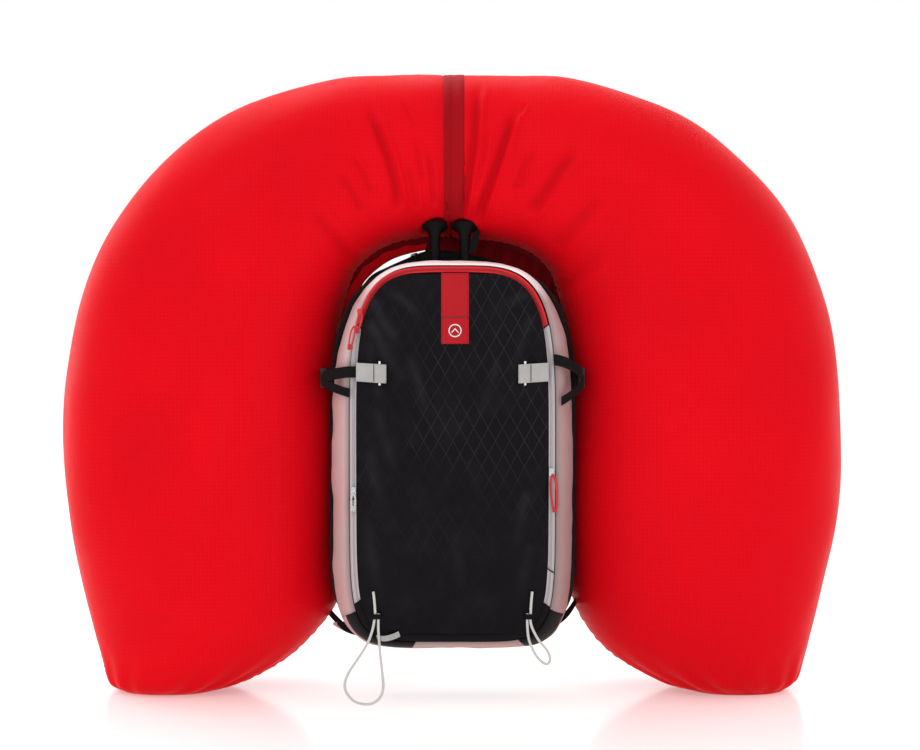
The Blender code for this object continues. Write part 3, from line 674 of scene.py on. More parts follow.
def seam_draw(rows, turn, side):
    """How far the two long seams draw the skin in, how much of it is the outer seam, and its beat."""
    run = rows * CHAMBER_RUN
    ends = np.clip(rows * 30, 0, 1) * np.clip((1 - rows) * 18, 0, 1)
    # The sewn line round the outside of the chamber pulls in, with short puckers either side.
    outer = np.minimum(turn, 2 * math.pi - turn)
    seam = bell(outer, 0.022)
    beat = np.sin(run * 290) + 0.6 * np.sin(run * 173 + 1.3) + 0.4 * np.sin(run * 410 + side)
    draw = SEAM_DRAW * seam + 0.0006 * bell(outer, 0.1) * beat
    # The inner line is laced to the pack and puckers more deeply.
    inner = np.abs(turn - math.pi)
    pleat = np.sin(run * 210 + side) + 0.7 * np.sin(run * 330 + 2.1)
    draw = draw + LACE_DRAW * bell(inner, 0.05) + 0.0005 * bell(inner, 0.3) * pleat
    return ends * draw, ends * seam, ends, beat


def air_chamber(side, label):
    """One chamber's skin, drawn in by its creases and seams; gives its points, ring by ring."""
    rings, angle = chamber_rings(side)
    x, y, z = rings[..., 0], rings[..., 1], rings[..., 2]
    rows, turn = np.linspace(0, 1, rings.shape[0])[:, None], angle[None, :]
    front = np.clip((AIR_Y - y) / 0.06, 0, 1)
    draw, dark = crease_depth(x, z, front)
    drawn, seam, ends, beat = seam_draw(rows, turn, side)
    # Slow, wide swells, so that the skin isn't a perfect tube.
    swell = (np.sin(x * 17 + z * 9 + side) * np.sin(z * 14 - y * 11 + 1.7)
             + 0.5 * np.sin(x * 31 - z * 23 + y * 19))
    draw = draw + drawn + SWELL * swell * ends
    # The foot flattens in a few radial folds where it meets the ground.
    foot = np.clip((0.075 - z) / 0.06, 0, 1) * np.clip(z / 0.012, 0, 1)
    draw = draw + FOOT_DRAW * foot * np.sin(turn * 17 + side)
    # The skin goes up in a pocket over each intake, which its flap opens into.
    for at in INLET_X:
        away = np.hypot(x - at, y - POCKET_Y)
        draw = draw + POCKET * np.exp(-((away / 0.0168) ** 6)) * (z < 0.7)
    # The two chambers roll in to the join between them.
    near = np.exp(-np.abs(x - SPLIT_X) / 0.006) * (rows < 0.35)
    draw = draw + JOIN_DRAW * near
    points = rings - normals_of(rings) * draw[..., None]
    start = SPLIT_X + side * SKIN_GAP
    points[..., 0] = (np.maximum if side > 0 else np.minimum)(points[..., 0], start)
    points[..., 2] = np.maximum(points[..., 2], 0.0)
    # Painted shade where the skin is drawn in, in the creases, along the puckered outer seam and at the
    # join between the chambers.
    fold = np.maximum(np.clip(draw * 30, 0, 0.3) * front, 0.42 * dark)
    fold = np.maximum(fold, 0.36 * seam * np.clip(0.75 + 0.25 * beat, 0, 1))
    fold = np.maximum(fold, 0.8 * near)
    obj = surface("air_chamber_" + label, points.tolist(), closed=True, caps=True, fold=fold.tolist())
    link(outward(obj), "air", nodes=["airbag_chamber_" + label])
    return points


def centre_strip(left, right):
    """The doubled cloth over the join, laid on the two skins."""
    # The last column of each is how much painted shade the strip gets there.
    columns = ((-0.0118, -0.0006, 0.2), (-0.0112, 0.0006, 0.05), (-0.008, 0.0009, 0.0),
               (-0.006, 0.0012, 0.1), (-0.002, 0.0012, 0.1), (0.002, 0.0009, 0.0),
               (0.006, 0.0008, 0.0), (0.01, 0.0008, 0.0), (0.0145, 0.0006, 0.0),
               (0.0165, -0.0006, 0.05))  # place across, height over the skin, how dark
    join_z, near_rings, reach = 0.747, 60, 0.003675
    rows = []
    for i in [*range(AROUND - 104, AROUND), *range(121)]:
        row = []
        for x, lift, _ in columns:
            # Beside the join the skins roll in, so their height is read a little further out.
            out_by = reach if abs(x - SPLIT_X) < 0.0035 else 0.0
            at = x + math.copysign(out_by, x - SPLIT_X)
            skin = (left if x < SPLIT_X else right)[:near_rings, i]
            point = skin[np.argsort(np.abs(skin[:, 0] - at))[0]]
            out = np.array((0, point[1] - AIR_Y, point[2] - join_z))
            out /= np.linalg.norm(out)
            row.append((x, *(point[1:] + out[1:] * lift)))
        rows.append(row)
    obj = surface("centre_join_strip", rows, fold=[[dark for *_, dark in columns]] * len(rows))
    link(thicken(obj, 0.0005), "double", nodes=["airbag_centre_strip"])


# ---------------------------------------------------------------- pack cloth


CLOTH = 0.0009  # the thickness that plain cloth is given
SHOULDER_TUCK = 0.0045  # how far the cloth sits in at the left shoulder of the pack


def gusset_points(places, depths, shape_a, shape_b, y_a, y_b, puff, seed, round_front=False):
    """Rows of cloth from one outline to another, puffed and creased, and the painted shade along their
    seams.
    """
    rows, folds = [], []
    for d in depths:
        shape = mix(shape_a, shape_b, math.sqrt(1 - (1 - d) ** 2) if round_front else d)
        row, fold = [], []
        for p in places:
            x, z = outline_point(shape, p % 4)
            y = y_a + (y_b - y_a) * d
            n = Vector((x / shape[0] ** 2 * 0.6, 0, (z - shape[2]) / shape[1] ** 2 * 0.25)).normalized()
            w = wobble((x, y, z), 11, seed) + 0.5 * wobble((x, y, z), 27, seed + 3)
            w += 0.55 * wobble((x * 2.0, y * 0.6, z * 2.4), 20, seed + 7)
            tuck = SHOULDER_TUCK * math.exp(-(((p % 4) - 2.0) / 0.16) ** 2)
            out = math.sin(math.pi * d) * puff * w - tuck
            row.append((x + n.x * out, y, z + n.z * out))
            # Painted shade along the seams, weaker above 0.56 m.
            seam = 0.75 if z < 0.56 else 0.25
            fold.append(seam * max(0.0, 1 - min(d, 1 - d) / 0.035))
        rows.append(row)
        folds.append(fold)
    return rows, folds


def build_shell():
    """The side and bottom cloth, from the front zip to the rear cloth, in the pieces it is sewn from."""
    depths = [0, 0.01, 0.03, 0.06, 0.1, 0.16, 0.23, 0.31, 0.4, 0.5, 0.6, 0.7, 0.8, 0.88, 0.94, 0.98, 1]
    for name, start, end, count, part, mat, nodes in (
        ("side_cloth", 0.045, 2.962, 150, slice(None), "light", ["side_gusset"]),
        ("corner_cloth_left", 2.962, 3.3, 26, slice(0, 6), "black", []),
        ("corner_rear_left", 2.962, 3.3, 26, slice(5, None), "light", []),
        ("bottom_cloth", 3.3, 3.858, 36, slice(None), "light", ["bottom_panel"]),
        ("corner_cloth_right", 3.858, 4.045, 18, slice(0, 8), "black", []),
        ("corner_rear_right", 3.858, 4.045, 18, slice(7, None), "light", []),
    ):
        rows, folds = gusset_points(spread(start, end, count), depths, GUSSET_FRONT, GUSSET_REAR,
                                    *GUSSET_Y, 0.003, 1.0, round_front=True)
        link(thicken(surface(name, rows[part], fold=folds[part]), CLOTH), mat, nodes=nodes)
    build_rear()
    build_corners()


def build_rear():
    """The black cloth behind the light one, which bulges out past the frame sheet's edge."""
    lip = (0.1705, 0.256, 0.335, 4.0, 6.0)
    rows, folds = [], []
    for d in spread(0, 1, 15):
        shape = mix(mix(GUSSET_REAR, BACK, d), lip, math.sin(math.pi * d) ** 0.7)
        more, fold = gusset_points(spread(1.82, 5.18, 150), [d], shape, shape, *REAR_Y, 0.0024, 9.0)
        rows += more
        folds += fold
    link(thicken(surface("rear_cloth", rows, fold=folds), CLOTH), "black", nodes=["rear_gusset"])


def build_corners():
    """The belt's stabiliser straps and the small cloth and tab sewn in at the pack's lower corners."""
    for label, strap in (
        ("left", [(-0.136, -0.056, 0.0925), (-0.15, -0.045, 0.0965), (-0.164, -0.022, 0.1045),
                  (-0.176, 0.002, 0.113)]),
        ("right", [(0.144, -0.056, 0.105), (0.158, -0.042, 0.114), (0.17, -0.02, 0.126),
                   (0.177, 0.002, 0.136)]),
    ):
        tape("belt_stabiliser_" + label, strap, (0, 0.25, 1), 0.011, 0.0014)
    sheet_between("base_corner_cloth", ((-0.1668, 0.0992), (-0.15, 0.101), (-0.12, 0.096)),
                  ((-0.166, 0.096), (-0.142, 0.0835), (-0.115, 0.079)), -0.03, "light", 0.0006)
    tape("base_tab", [(-0.1, -0.153, 0.1), (-0.09, -0.1572, 0.0995),
                      (-0.079, -0.158, 0.102), (-0.07, -0.1575, 0.106)],
         (-0.35, 0, 1), 0.0075, 0.001, "grey_web")


# Creases of the front cloth: start and end (x, z), width and depth, in metres.
FRONT_CREASES = (
    (-0.108, 0.552, -0.07, 0.485, 0.006, 0.0024), (-0.112, 0.524, -0.066, 0.44, 0.0065, 0.0026),
    (-0.113, 0.496, -0.092, 0.4, 0.006, 0.0018), (-0.084, 0.564, -0.036, 0.52, 0.0055, 0.0016),
    (0.103, 0.556, 0.052, 0.53, 0.006, 0.0018), (0.108, 0.53, 0.076, 0.45, 0.006, 0.0018),
    (0.062, 0.472, 0.03, 0.38, 0.006, 0.0014), (-0.06, 0.48, -0.025, 0.38, 0.006, 0.0014),
    (-0.102, 0.41, -0.076, 0.32, 0.007, 0.0014), (-0.112, 0.355, -0.085, 0.25, 0.007, 0.0016),
    (-0.113, 0.26, -0.095, 0.15, 0.007, 0.0012), (0.102, 0.3, 0.08, 0.21, 0.007, 0.0014),
    (0.106, 0.23, 0.085, 0.15, 0.007, 0.0012), (0.0, 0.25, 0.016, 0.16, 0.008, 0.001),
)


def front_crease(x, z):
    """The height of the creases at this place, and how much painted highlight they get."""
    height = light = 0.0
    for ax, az, bx, bz, width, deep in FRONT_CREASES:
        dx, dz = bx - ax, bz - az
        length = math.hypot(dx, dz)
        t = ((x - ax) * dx + (z - az) * dz) / length**2
        off = ((x - ax) * dz - (z - az) * dx) / length + 0.0016 * math.sin(t * 5 + ax * 90)
        shape = math.exp(-((off / width) ** 2)) * smooth(t / 0.15) * smooth((1.1 - t) / 0.6)
        height += deep * shape
        light = max(light, shape * deep / 0.0026)
    return height, light


SEAM_LAP = 0.0022  # how far the front cloth runs under its zips


def front_half(v):
    """The front cloth's half width at a height, from -1 at the bottom to 1 at the top."""
    power = PANEL[3] if v > 0 else PANEL[4]
    return (PANEL[0] + SEAM_LAP) * (1 - min(0.9999, abs(v) ** power)) ** (1 / power)


def front_point(v, s):
    """A point of the front cloth, v up it and s across it, each from -1 to 1."""
    z = PANEL[2] + (PANEL[1] + SEAM_LAP) * v
    x = front_half(v) * s
    flat = (1 - abs(s) ** 6) * (1 - abs(v) ** 8)
    w = (0.0016 * wobble((x, 0, z), 15, 2.0) + 0.0011 * wobble((x, 0, z), 34, 5.0)
         + 0.0005 * wobble((x, 0, z), 80, 8.0)) + front_crease(x, z)[0]
    return (x, panel_y(x, z) + 1.5 * w * flat, lifted(z) - 0.003 * smooth((0.14 - z) / 0.03))


def panel_skin(x, z):
    """The front cloth's Y at this place."""
    v = (z - PANEL[2]) / (PANEL[1] + SEAM_LAP)
    return front_point(v, x / front_half(v))[1]


def build_front():
    """One cloth from the bottom seam to the top zip."""
    levels = [-0.988, -0.98, -0.965, -0.94, -0.91, *spread(-0.87, 0.88, 96),
              0.905, 0.93, 0.95, 0.968, 0.982, 0.9925]
    across = [-1, -0.985, -0.96, -0.92, *spread(-0.87, 0.87, 57), 0.92, 0.96, 0.985, 1]
    rows = [[front_point(v, s) for s in across] for v in levels]
    # Painted highlights along the creases.
    streaks = [[0.55 * front_crease(x, z)[1] for x, y, z in row] for row in rows]
    obj = thicken(surface("front_cloth", rows, streak=streaks), 0.001)
    link(obj, "laminate", None, ["front_panel", "front_flap"])
    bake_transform(obj)


def on_panel(x, z, lift):
    return (x, panel_skin(x, z) - lift, z)


def build_trim():
    """The red stripe with its sewn fold and, in place of any real mark, a ring round a chevron."""
    left, right = -0.0147, 0.0217
    for name, zs, lift, thickness, mat, nodes in (
        ("centre_stripe_cloth", spread(0.4895, 0.5828, 26), 0.0012, 0.0006, "red_cloth", ["centre_stripe"]),
        ("stripe_fold", spread(0.5242, 0.525, 3), 0.0019, 0.0005, "thread", []),
    ):
        rows = [[on_panel(x, z, lift) for x in spread(left, right, 9)] for z in zs]
        link(thicken(surface(name, rows), thickness), mat, "flap", nodes)
    middle_x, middle_z, lift = (left + right) / 2, 0.507, 0.0022

    def flat(x, z):
        return on_panel(middle_x + x, middle_z + z, lift)

    ring = [[flat(r * math.cos(a), r * math.sin(a)) for a in turns(40)] for r in (0.0072, 0.0086)]
    bars = [[flat(x, z + d) for x, z in ((-0.0046, -0.0028), (0.0, 0.0024), (0.0046, -0.0028))]
            for d in (-0.001, 0.001)]
    for name, rows, closed in (("mark_ring", ring, True), ("mark_chevron", bars, False)):
        link(thicken(surface(name, rows, closed), 0.0004), "white_plastic", "flap")


def zip_tape(name, start, end, count, mat, nodes, profile):
    """A tape along the zip line, from place to place of the outline."""
    rows = [[(x, y, z) for offset, y in profile
             for x, z in [outline_point(grown(ZIP_LINE, offset), place % 4)]]
            for place in spread(start, end, count)]
    run = lengths([row[len(row) // 2] for row in rows])
    obj = surface(name, rows, along=[[at] * len(profile) for at in run],
                  side=[[offset for offset, _ in profile]] * count)
    link(thicken(obj, 0.0007), mat, nodes=nodes)


def mirrored(half):
    """A profile's half below its middle, its middle last, with the other half added."""
    return half + [(-offset, y) for offset, y in reversed(half[:-1])]


def build_zips():
    teeth = mirrored([(-0.0048, ZIP_Y), (-0.0034, ZIP_Y - 0.0002), (-0.0019, ZIP_Y - 0.0001),
                      (-0.0014, ZIP_Y - 0.0008), (-0.0007, ZIP_Y - 0.0012), (0.0, ZIP_Y - 0.00105)])
    piping = mirrored([(-0.0048, ZIP_Y), (-0.003, ZIP_Y - 0.001), (0.0, ZIP_Y - 0.0016)])
    arch = [(max(-0.0036, min(0.0036, offset)), y) for offset, y in teeth]
    zip_tape("main_zip_tape", 0.9137, 2.0863, 120, "red_zip", ["main_zip"], arch)
    zip_tape("side_zip_tape_right", 0.156, 0.9097, 64, "grey_zip", ["side_zip_right"], teeth)
    zip_tape("side_zip_tape_left", 2.0903, 2.627, 54, "grey_zip", ["side_zip_left"], teeth)
    zip_tape("bottom_piping", 2.94, 4.05, 100, "web", ["front_binding"], piping)
    zip_tape("side_piping_left", 2.631, 2.94, 24, "grey_zip", [], piping)
    zip_tape("side_piping_right", 4.05, 4.152, 10, "grey_zip", [], piping)


def build_pulls():
    """The knotted cord pulls: a loop that hangs from a slider's eye, and a knot at its end."""
    half = [(0.0, 0.001), (0.0022, -0.18), (0.0027, -0.5), (0.0018, -0.84)]
    outline = [*half, (0.0, -0.9), *((-dx, t) for dx, t in reversed(half))]
    # Each has its place, length, lean, distance out from the zip, width, radius, body and node.
    for name, x, z, length, lean, out, wide, radius, mat, body, node in (
        ("left", -0.1308, 0.292, 0.022, 0.0, 0.0, 1.0, 0.0012, "cord", "pull_left", "side_pull_left"),
        ("right", 0.1325, 0.317, 0.05, 0.003, 0.0, 1.5, 0.0017, "red_cord", "pull_right",
         "side_pull_right"),
        ("upper", -0.12, 0.531, 0.026, -0.006, 0.0, 1.0, 0.0012, "red_cord", "main_pull_a",
         "main_pull_upper"),
        ("lower", -0.129, 0.513, 0.03, -0.006, 0.0042, 1.0, 0.0012, "red_cord", "main_pull_b",
         "main_pull_lower"),
    ):
        y = -0.1562 - out
        path = [(x + dx * wide - lean * t, y + 0.0006 * math.sin(k * 2.1), z + length * t)
                for k, (dx, t) in enumerate(outline)]
        rope("pull_cord_" + name, catmull(path, 5), radius, mat, body, [node], sides=8)
        knot = [(x + lean * 0.9 + 0.0024 * math.sin(2 * t), y + 0.0015 * math.cos(3 * t),
                 z - length * 0.92 + 0.003 * math.sin(3 * t)) for t in spread(0, 2 * math.pi, 15)]
        rope("pull_cord_%s_knot" % name, catmull(knot, 2), 0.0013, mat, body, sides=8)


def build_keepers(side, label):
    """A compression strap in two legs from its buckle, and the folded keeper that holds the upper one."""
    x, z = BUCKLE
    upper = {"left": ((x, -0.106, 0.0), (x, -0.122, 0.001), (0.164, -0.14, 0.005),
                      (0.145, -0.1545, 0.009), (0.135, -0.1572, 0.01), (0.124, -0.1572, 0.01)),
             "right": ((x, -0.106, 0.0), (x, -0.122, 0.003), (0.1665, -0.14, 0.012),
                       (0.154, -0.151, 0.02), (0.142, -0.155, 0.0245), (0.1335, -0.1555, 0.026))}
    lower = {"left": ((x + 0.0012, -0.1063, -0.001), (x + 0.0012, -0.1215, -0.003),
                      (0.165, -0.1385, -0.008), (0.149, -0.151, -0.014), (0.1354, -0.1535, -0.018)),
             "right": ((x + 0.0012, -0.1063, -0.001), (x + 0.0012, -0.1215, -0.006),
                       (0.164, -0.139, -0.016), (0.152, -0.15, -0.024), (0.1435, -0.1525, -0.029))}
    for leg, path, width, nodes in (("upper", upper, 0.015, ["compression_strap_" + label]),
                                    ("lower", lower, 0.012, [])):
        points = [(side * a, b, z + c) for a, b, c in path[label]]
        strap = tape("strap_%s_%s" % (leg, label), points, (0, 0, 1), width, 0.0012, "web", None, nodes)
        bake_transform(strap)
    keeper = [(side * a, b, z + 0.01 - (0.1265 - a) * 0.06) for a, b in (
        (0.1265, -0.1598), (0.121, -0.1618), (0.112, -0.1638), (0.103, -0.1662), (0.0945, -0.1686),
        (0.0885, -0.1672), (0.0872, -0.1648), (0.089, -0.162), (0.096, -0.1612), (0.11, -0.1606),
        (0.122, -0.1594))]
    tape("keeper_%s_web" % label, keeper, (0, 0, 1), 0.0245, 0.0013, "grey_web",
         nodes=["keeper_" + label])
    for name, a, b, middle, half, radius, mat, sides in (
        ("toggle_" + label, 0.0955, -0.1652, 0.0085, 0.0158, 0.0015, "white_plastic", 10),
        ("keeper_%s_seam" % label, 0.103, -0.1675, 0.0088, 0.0115, 0.0004, "thread", 6),
    ):
        line = [(side * a, b, z + middle + d) for d in spread(-half, half, 8)]
        rope(name, line, radius, mat, sides=sides)


LOOP_Y, LOOP_CORD = -0.157, 0.0035
LOOPS = {
    "left": (-1, ((0.1045, 0.162), (0.103, 0.148), (0.1022, 0.135), (0.103, 0.125),
                  (0.106, 0.11), (0.113, 0.092), (0.1255, 0.072), (0.1375, 0.054),
                  (0.1427, 0.038), (0.1395, 0.026), (0.13, 0.016), (0.117, 0.012),
                  (0.104, 0.014), (0.0945, 0.023), (0.0915, 0.036), (0.093, 0.055),
                  (0.0955, 0.078), (0.0972, 0.098), (0.098, 0.112), (0.098, 0.125),
                  (0.0975, 0.133))),
    "right": (1, ((0.1055, 0.162), (0.1042, 0.148), (0.1035, 0.135), (0.104, 0.118),
                  (0.1137, 0.098), (0.1243, 0.085), (0.129, 0.074), (0.127, 0.0665),
                  (0.1205, 0.067), (0.11, 0.078), (0.1012, 0.098), (0.099, 0.118),
                  (0.099, 0.133))),
}


def build_loops():
    """The ice-axe loops, each a cord out of its hole, through its keeper, round and back."""
    for label, (side, points) in LOOPS.items():
        fine = catmull([(side * x, LOOP_Y, z) for x, z in points], 5)
        obj = rope("axe_cord_" + label, fine, LOOP_CORD / 2, "cord", nodes=["axe_loop_" + label],
                   sides=10)
        x = side * (points[3][0] + points[-2][0]) / 2
        bridge = ((-0.0058, -0.156), (-0.0048, -0.1592), (0.0, -0.16), (0.0048, -0.1592),
                  (0.0058, -0.156))
        tape("axe_keeper_" + label, [(x + dx, y, 0.129) for dx, y in bridge], (0, 0, 1), 0.007,
             0.0012, steps=4)


# ---------------------------------------------------------------- harness


def pad(name, centres, across, halves, thickness, nodes, channels=0):
    """A stuffed pad: a rounded section swept along a path, with sewn channels along it."""
    rows, a = [], Vector(across)
    for p, n, half in zip(centres, frames(centres, across), halves):
        ring = []
        for t in turns(40):
            c, s = math.cos(t), math.sin(t)
            u = math.copysign(abs(c) ** 0.55, c)
            h = math.copysign(abs(s) ** 0.75, s) * (1 - 0.22 * abs(u) ** 6)
            dip = sum(math.exp(-(((u + 0.45 - 0.9 * k) / 0.1) ** 2)) * 0.16 for k in range(channels))
            q = Vector(p) + a * (u * half) + n * (h * (1 - dip) * thickness / 2)
            ring.append(q + n * 0.0006 * wobble(q, 40, 3.0))
        rows.append(ring)
    obj = surface(name, rows, closed=True, caps=True)
    link(outward(obj), "mesh", nodes=nodes)


def frames(path, across):
    """Normals across a path, from its direction and its width's direction."""
    result = []
    for i in range(len(path)):
        a, b = Vector(path[max(i - 1, 0)]), Vector(path[min(i + 1, len(path) - 1)])
        result.append((b - a).normalized().cross(Vector(across)).normalized())
    return result


def build_shoulders(side, label):
    path = catmull([(side * x, y, z) for x, y, z in PAD_PATH], 8)
    ends = len(path) - 1
    halves = [0.0285 * (0.8 + 0.2 * smooth(min(i, ends - i) / 5)) for i in range(len(path))]
    pad("shoulder_pad_%s_foam" % label, path, (1, 0, 0), halves, 0.0118, ["shoulder_pad_" + label])
    for k, off in enumerate((-0.0284, 0.0284)):
        binding = [(x + off, y, z) for x, y, z in path[2:-2:4]]
        tape("shoulder_binding_%s_%d" % (label, k), binding, frames(binding, (1, 0, 0)), 0.0105,
             0.001, steps=4)
    rail = [tuple(Vector(p) + n * (-0.0068 if n.y < 0 else 0.0068))
            for p, n in list(zip(path, frames(path, (1, 0, 0))))[20:60:4]]
    tape("strap_rail_" + label, rail, (1, 0, 0), 0.016, 0.0012, steps=4)
    web = [(side * x, y, z) for x, y, z in (
        (0.099, 0.093, 0.264), (0.096, 0.076, 0.215), (0.0915, 0.05, 0.155),
        (0.09, 0.027, 0.112), (0.09, 0.0245, 0.1))]
    tape("strap_web_" + label, web, (1, 0, 0), 0.02, 0.0016, nodes=["strap_webbing_" + label])
    rounded_block("ladder_lock_" + label, (side * 0.099, 0.0915, 0.26), (0.03, 0.006, 0.024),
                  0.0015, "plastic")


def build_belt():
    """The hip wings, and the belt's and the sternum strap's webbing, straight to their tongues."""
    halves = [h for h, in catmull([(h,) for h in WING_HALF], 8)]
    for side, label in SIDES:
        path = catmull([(side * x, y, BELT_Z) for x, y in WING_PATH], 8)
        pad("hip_wing_%s_foam" % label, path, (0, 0, 1), halves, 0.01, ["hip_wing_" + label],
            channels=2)
    for name, xs, ys, z, width, body, node in (
        ("belt_web", (-0.0735, -0.03, 0.0116), (0.159, 0.1595, 0.1595), BELT_Z, 0.025,
         "belt_half", "hip_webbing"),
        ("sternum_web", (-0.064, -0.02, 0.0276), (0.1305, 0.1305, 0.1305), STERNUM_Z, 0.018,
         "sternum_half", "sternum_strap"),
    ):
        tape(name, [(x, y, z) for x, y in zip(xs, ys)], (0, 0, 1), width, 0.0014, "web", body, [node])


def build_back():
    """The back pad, in cushions with channels between them, and the haul loop over it."""
    half_wide, half_tall, middle, back_y = 0.15, 0.258, 0.335, 0.0215
    edge_round, groove_depth, flat_y = 0.007, 0.0085, 0.0068
    rows = []
    for v in spread(-0.99, 0.99, 90):
        power = BACK[3] if v > 0 else BACK[4]
        half, z = half_wide * (1 - abs(v) ** power) ** (1 / power), middle + half_tall * v
        row = []
        for s in spread(-1, 1, 61):
            x = half * s
            rim = min(1.0, (1 - abs(s)) / 0.1, (1 - abs(v)) / 0.06)
            y = back_y - edge_round * (1 - math.sqrt(max(0, 1 - (1 - rim) ** 2)))
            # One groove runs up the middle, and three run across it in shallow Vs.
            across = [bell(z - level - abs(x) * 0.12, 0.006) for level in (0.205, 0.335, 0.455)]
            row.append((x, y - groove_depth * max(bell(x, 0.011), *across) * smooth(rim), z))
        rows.append(row)
    rings = [row + [(x, flat_y, z) for x, y, z in reversed(row)] for row in rows]
    obj = surface("back_cushion", rings, closed=True, caps=True)
    link(outward(obj), "mesh", nodes=["back_pad"])
    half = [(-0.035, 0.0255, 0.57), (-0.034, 0.03, 0.588), (-0.026, 0.038, 0.602)]
    loop = [*half, (0.0, 0.042, 0.608), *((-x, y, z) for x, y, z in reversed(half))]
    tape("haul_loop", loop, (0, 1, -0.3), 0.0075, 0.0018, "web", "haul", ["haul_handle"])


def build_skirt():
    """The gathered cloth that ties the chambers to the top of the pack."""
    edge = ((-0.04, 0.64), (0.0, 0.641), (0.037, 0.639), (0.07, 0.634),
            (0.098, 0.624), (0.12, 0.611), (0.14, 0.59), (0.155, 0.565), (0.166, 0.525))
    count, gather = 9, 0.0022
    rows, folds = [], []
    for i, (x, z) in enumerate(catmull(edge, 8)):
        # It starts on the pack's rear outline, a little nearer the middle than where it ends.
        low_x, wave = x * 0.93, math.sin(i * 0.9)
        v = (1 - abs(low_x / BACK[0]) ** BACK[3]) ** (1 / BACK[3])
        low = BACK[2] + BACK[1] * v - 0.01
        rows.append([(low_x + (x - low_x) * t, 0.006 + 0.004 * t + gather * wave * math.sin(math.pi * t),
                      low + (z - 0.002 - low) * t) for t in spread(0, 1, count)])
        # Painted shade along both edges and in the gathers.
        folds.append([0.5, *[0.15 * (1 + wave)] * (count - 2), 0.5])
    link(thicken(surface("airbag_skirt_cloth", rows, fold=folds), CLOTH), "skirt",
         nodes=["airbag_skirt"])


def horn(name, path, nodes):
    """A flared lip and a ribbed hose, open at the lip, along a path that starts there."""
    line, wall, lip_rings = [Vector(p) for p in path], 0.0011, 30
    outer = []
    for i, run in enumerate(lengths(path)):
        flare = 0.0108 * math.exp(-((run / 0.0056) ** 1.3))
        rib = 0.00045 * math.sin(run * 2 * math.pi / 0.0034) * smooth((run - 0.012) / 0.006)
        outer.append((i, 0.0074 + flare + rib))
    rows, x_axis = [], Vector((1, 0, 0))
    for i, r in [(i, r - wall) for i, r in outer[:lip_rings]][::-1] + outer:
        heading = (line[min(i + 1, len(line) - 1)] - line[max(i - 1, 0)]).normalized()
        b = heading.cross(x_axis).normalized()
        rows.append([line[i] + x_axis * r * math.cos(t) + b * r * math.sin(t) for t in turns(32)])
    link(outward(surface(name, rows, closed=True, caps=True)), "horn", nodes=nodes)


def build_intakes():
    """The two air intakes under the chamber, each with a half-round flap beside a fixed seat."""
    radius = 0.0138
    arc = [(radius * math.cos(a), radius * math.sin(a)) for a in spread(0.12, math.pi - 0.12, 19)]
    shape = [(-0.0125, 0.0003), (0.0125, 0.0003)] + arc
    rib = [(-0.001, 0.002), (0.001, 0.002), (0.0006, 0.0105), (-0.0006, 0.0105)]
    plates = [(shape, -0.0004, 0.0004, 0.0002), (rib, 0.0002, 0.001, 0.0002)]
    for x, (_, label) in zip(INLET_X, SIDES):
        path = catmull([(x, -0.047, 0.647), (x, -0.05, 0.6405), (x, -0.0515, 0.631),
                        (x, -0.0518, 0.619), (x, -0.0512, 0.605), (x, -0.05, 0.584)], 14)
        horn("intake_horn_" + label, path, ["intake_trumpet_" + label])
        for name, way, mat, body, nodes in (
            ("check_valve_", 1, "rubber", "check_" + label, ["check_flap_" + label]),
            ("check_seat_", -1, "horn", "pack", []),
        ):
            moulding(name + label, plates,
                     lambda u, v, w, x=x, way=way: (x + u, -0.0466 + way * v, 0.6461 + w),
                     mat, body, nodes)
    tape("horn_tab", [(0.033, -0.052, 0.64), (0.03, -0.056, 0.628), (0.0262, -0.058, 0.611)],
         (1, 0, 0.15), 0.0105, 0.0014)


def sheet_between(name, upper, lower, y, mat, ripple=0.0015):
    """Cloth hanging between two lines given in XZ."""
    count = 7
    rows = []
    for i, (a, b) in enumerate(zip(catmull(upper, 8), catmull(lower, 8))):
        rows.append([(a[0] + (b[0] - a[0]) * t, y + ripple * math.sin(i * 0.7 + t * 2.0),
                      a[1] + (b[1] - a[1]) * t) for t in spread(0, 1, count)])
    # Painted shade along both hems.
    hems = [0.4, *[0.08] * (count - 2), 0.4]
    link(thicken(surface(name, rows, fold=[hems] * len(rows)), CLOTH), mat)


def build_yoke():
    """The open lip of the airbag's compartment over the top of the pack, and the hem beside it."""
    sheet_between("air_hem",
                  ((-0.169, 0.515), (-0.151, 0.57), (-0.123, 0.608), (-0.094, 0.628),
                   (-0.065, 0.637), (-0.033, 0.641)),
                  ((-0.156, 0.5), (-0.133, 0.556), (-0.1167, 0.5805), (-0.0902, 0.601),
                   (-0.0662, 0.6105), (-0.038, 0.617)), 0.006, "air")
    sheet_between("compartment_lip",
                  ((-0.145, 0.538), (-0.1167, 0.5785), (-0.0902, 0.5935), (-0.0662, 0.6042),
                   (-0.0409, 0.6145), (-0.015, 0.6165), (0.0228, 0.6106), (0.056, 0.602),
                   (0.0926, 0.586), (0.1262, 0.559), (0.15, 0.535)),
                  ((-0.138, 0.538), (-0.112, 0.56), (-0.089, 0.574), (-0.0662, 0.582),
                   (-0.0409, 0.586), (-0.015, 0.588), (0.0228, 0.588), (0.056, 0.583),
                   (0.09, 0.57), (0.12, 0.548), (0.142, 0.525)), 0.001, "black", 0.0008)


def build_seam():
    """The dark taped line where the chambers are laced to the back of the pack."""
    line = catmull([(s[2], AIR_Y - 0.012, s[3]) for s in STATIONS[:11]], 6)[2:-2:3]
    inset, pack_z = 0.0035, 0.28
    for side, label in SIDES:
        path, across = [], []
        for x, y, z in line:
            inward = Vector((-x, 0, pack_z - z)).normalized() * inset
            x, z = x + inward.x, z + inward.z
            path.append((side * x, y, z))
            across.append((side * -x * 2.2, 0.7, (pack_z - z) * 2.2))
        tape("lacing_tape_" + label, path, across, 0.01, 0.0012, "lacing", steps=3)


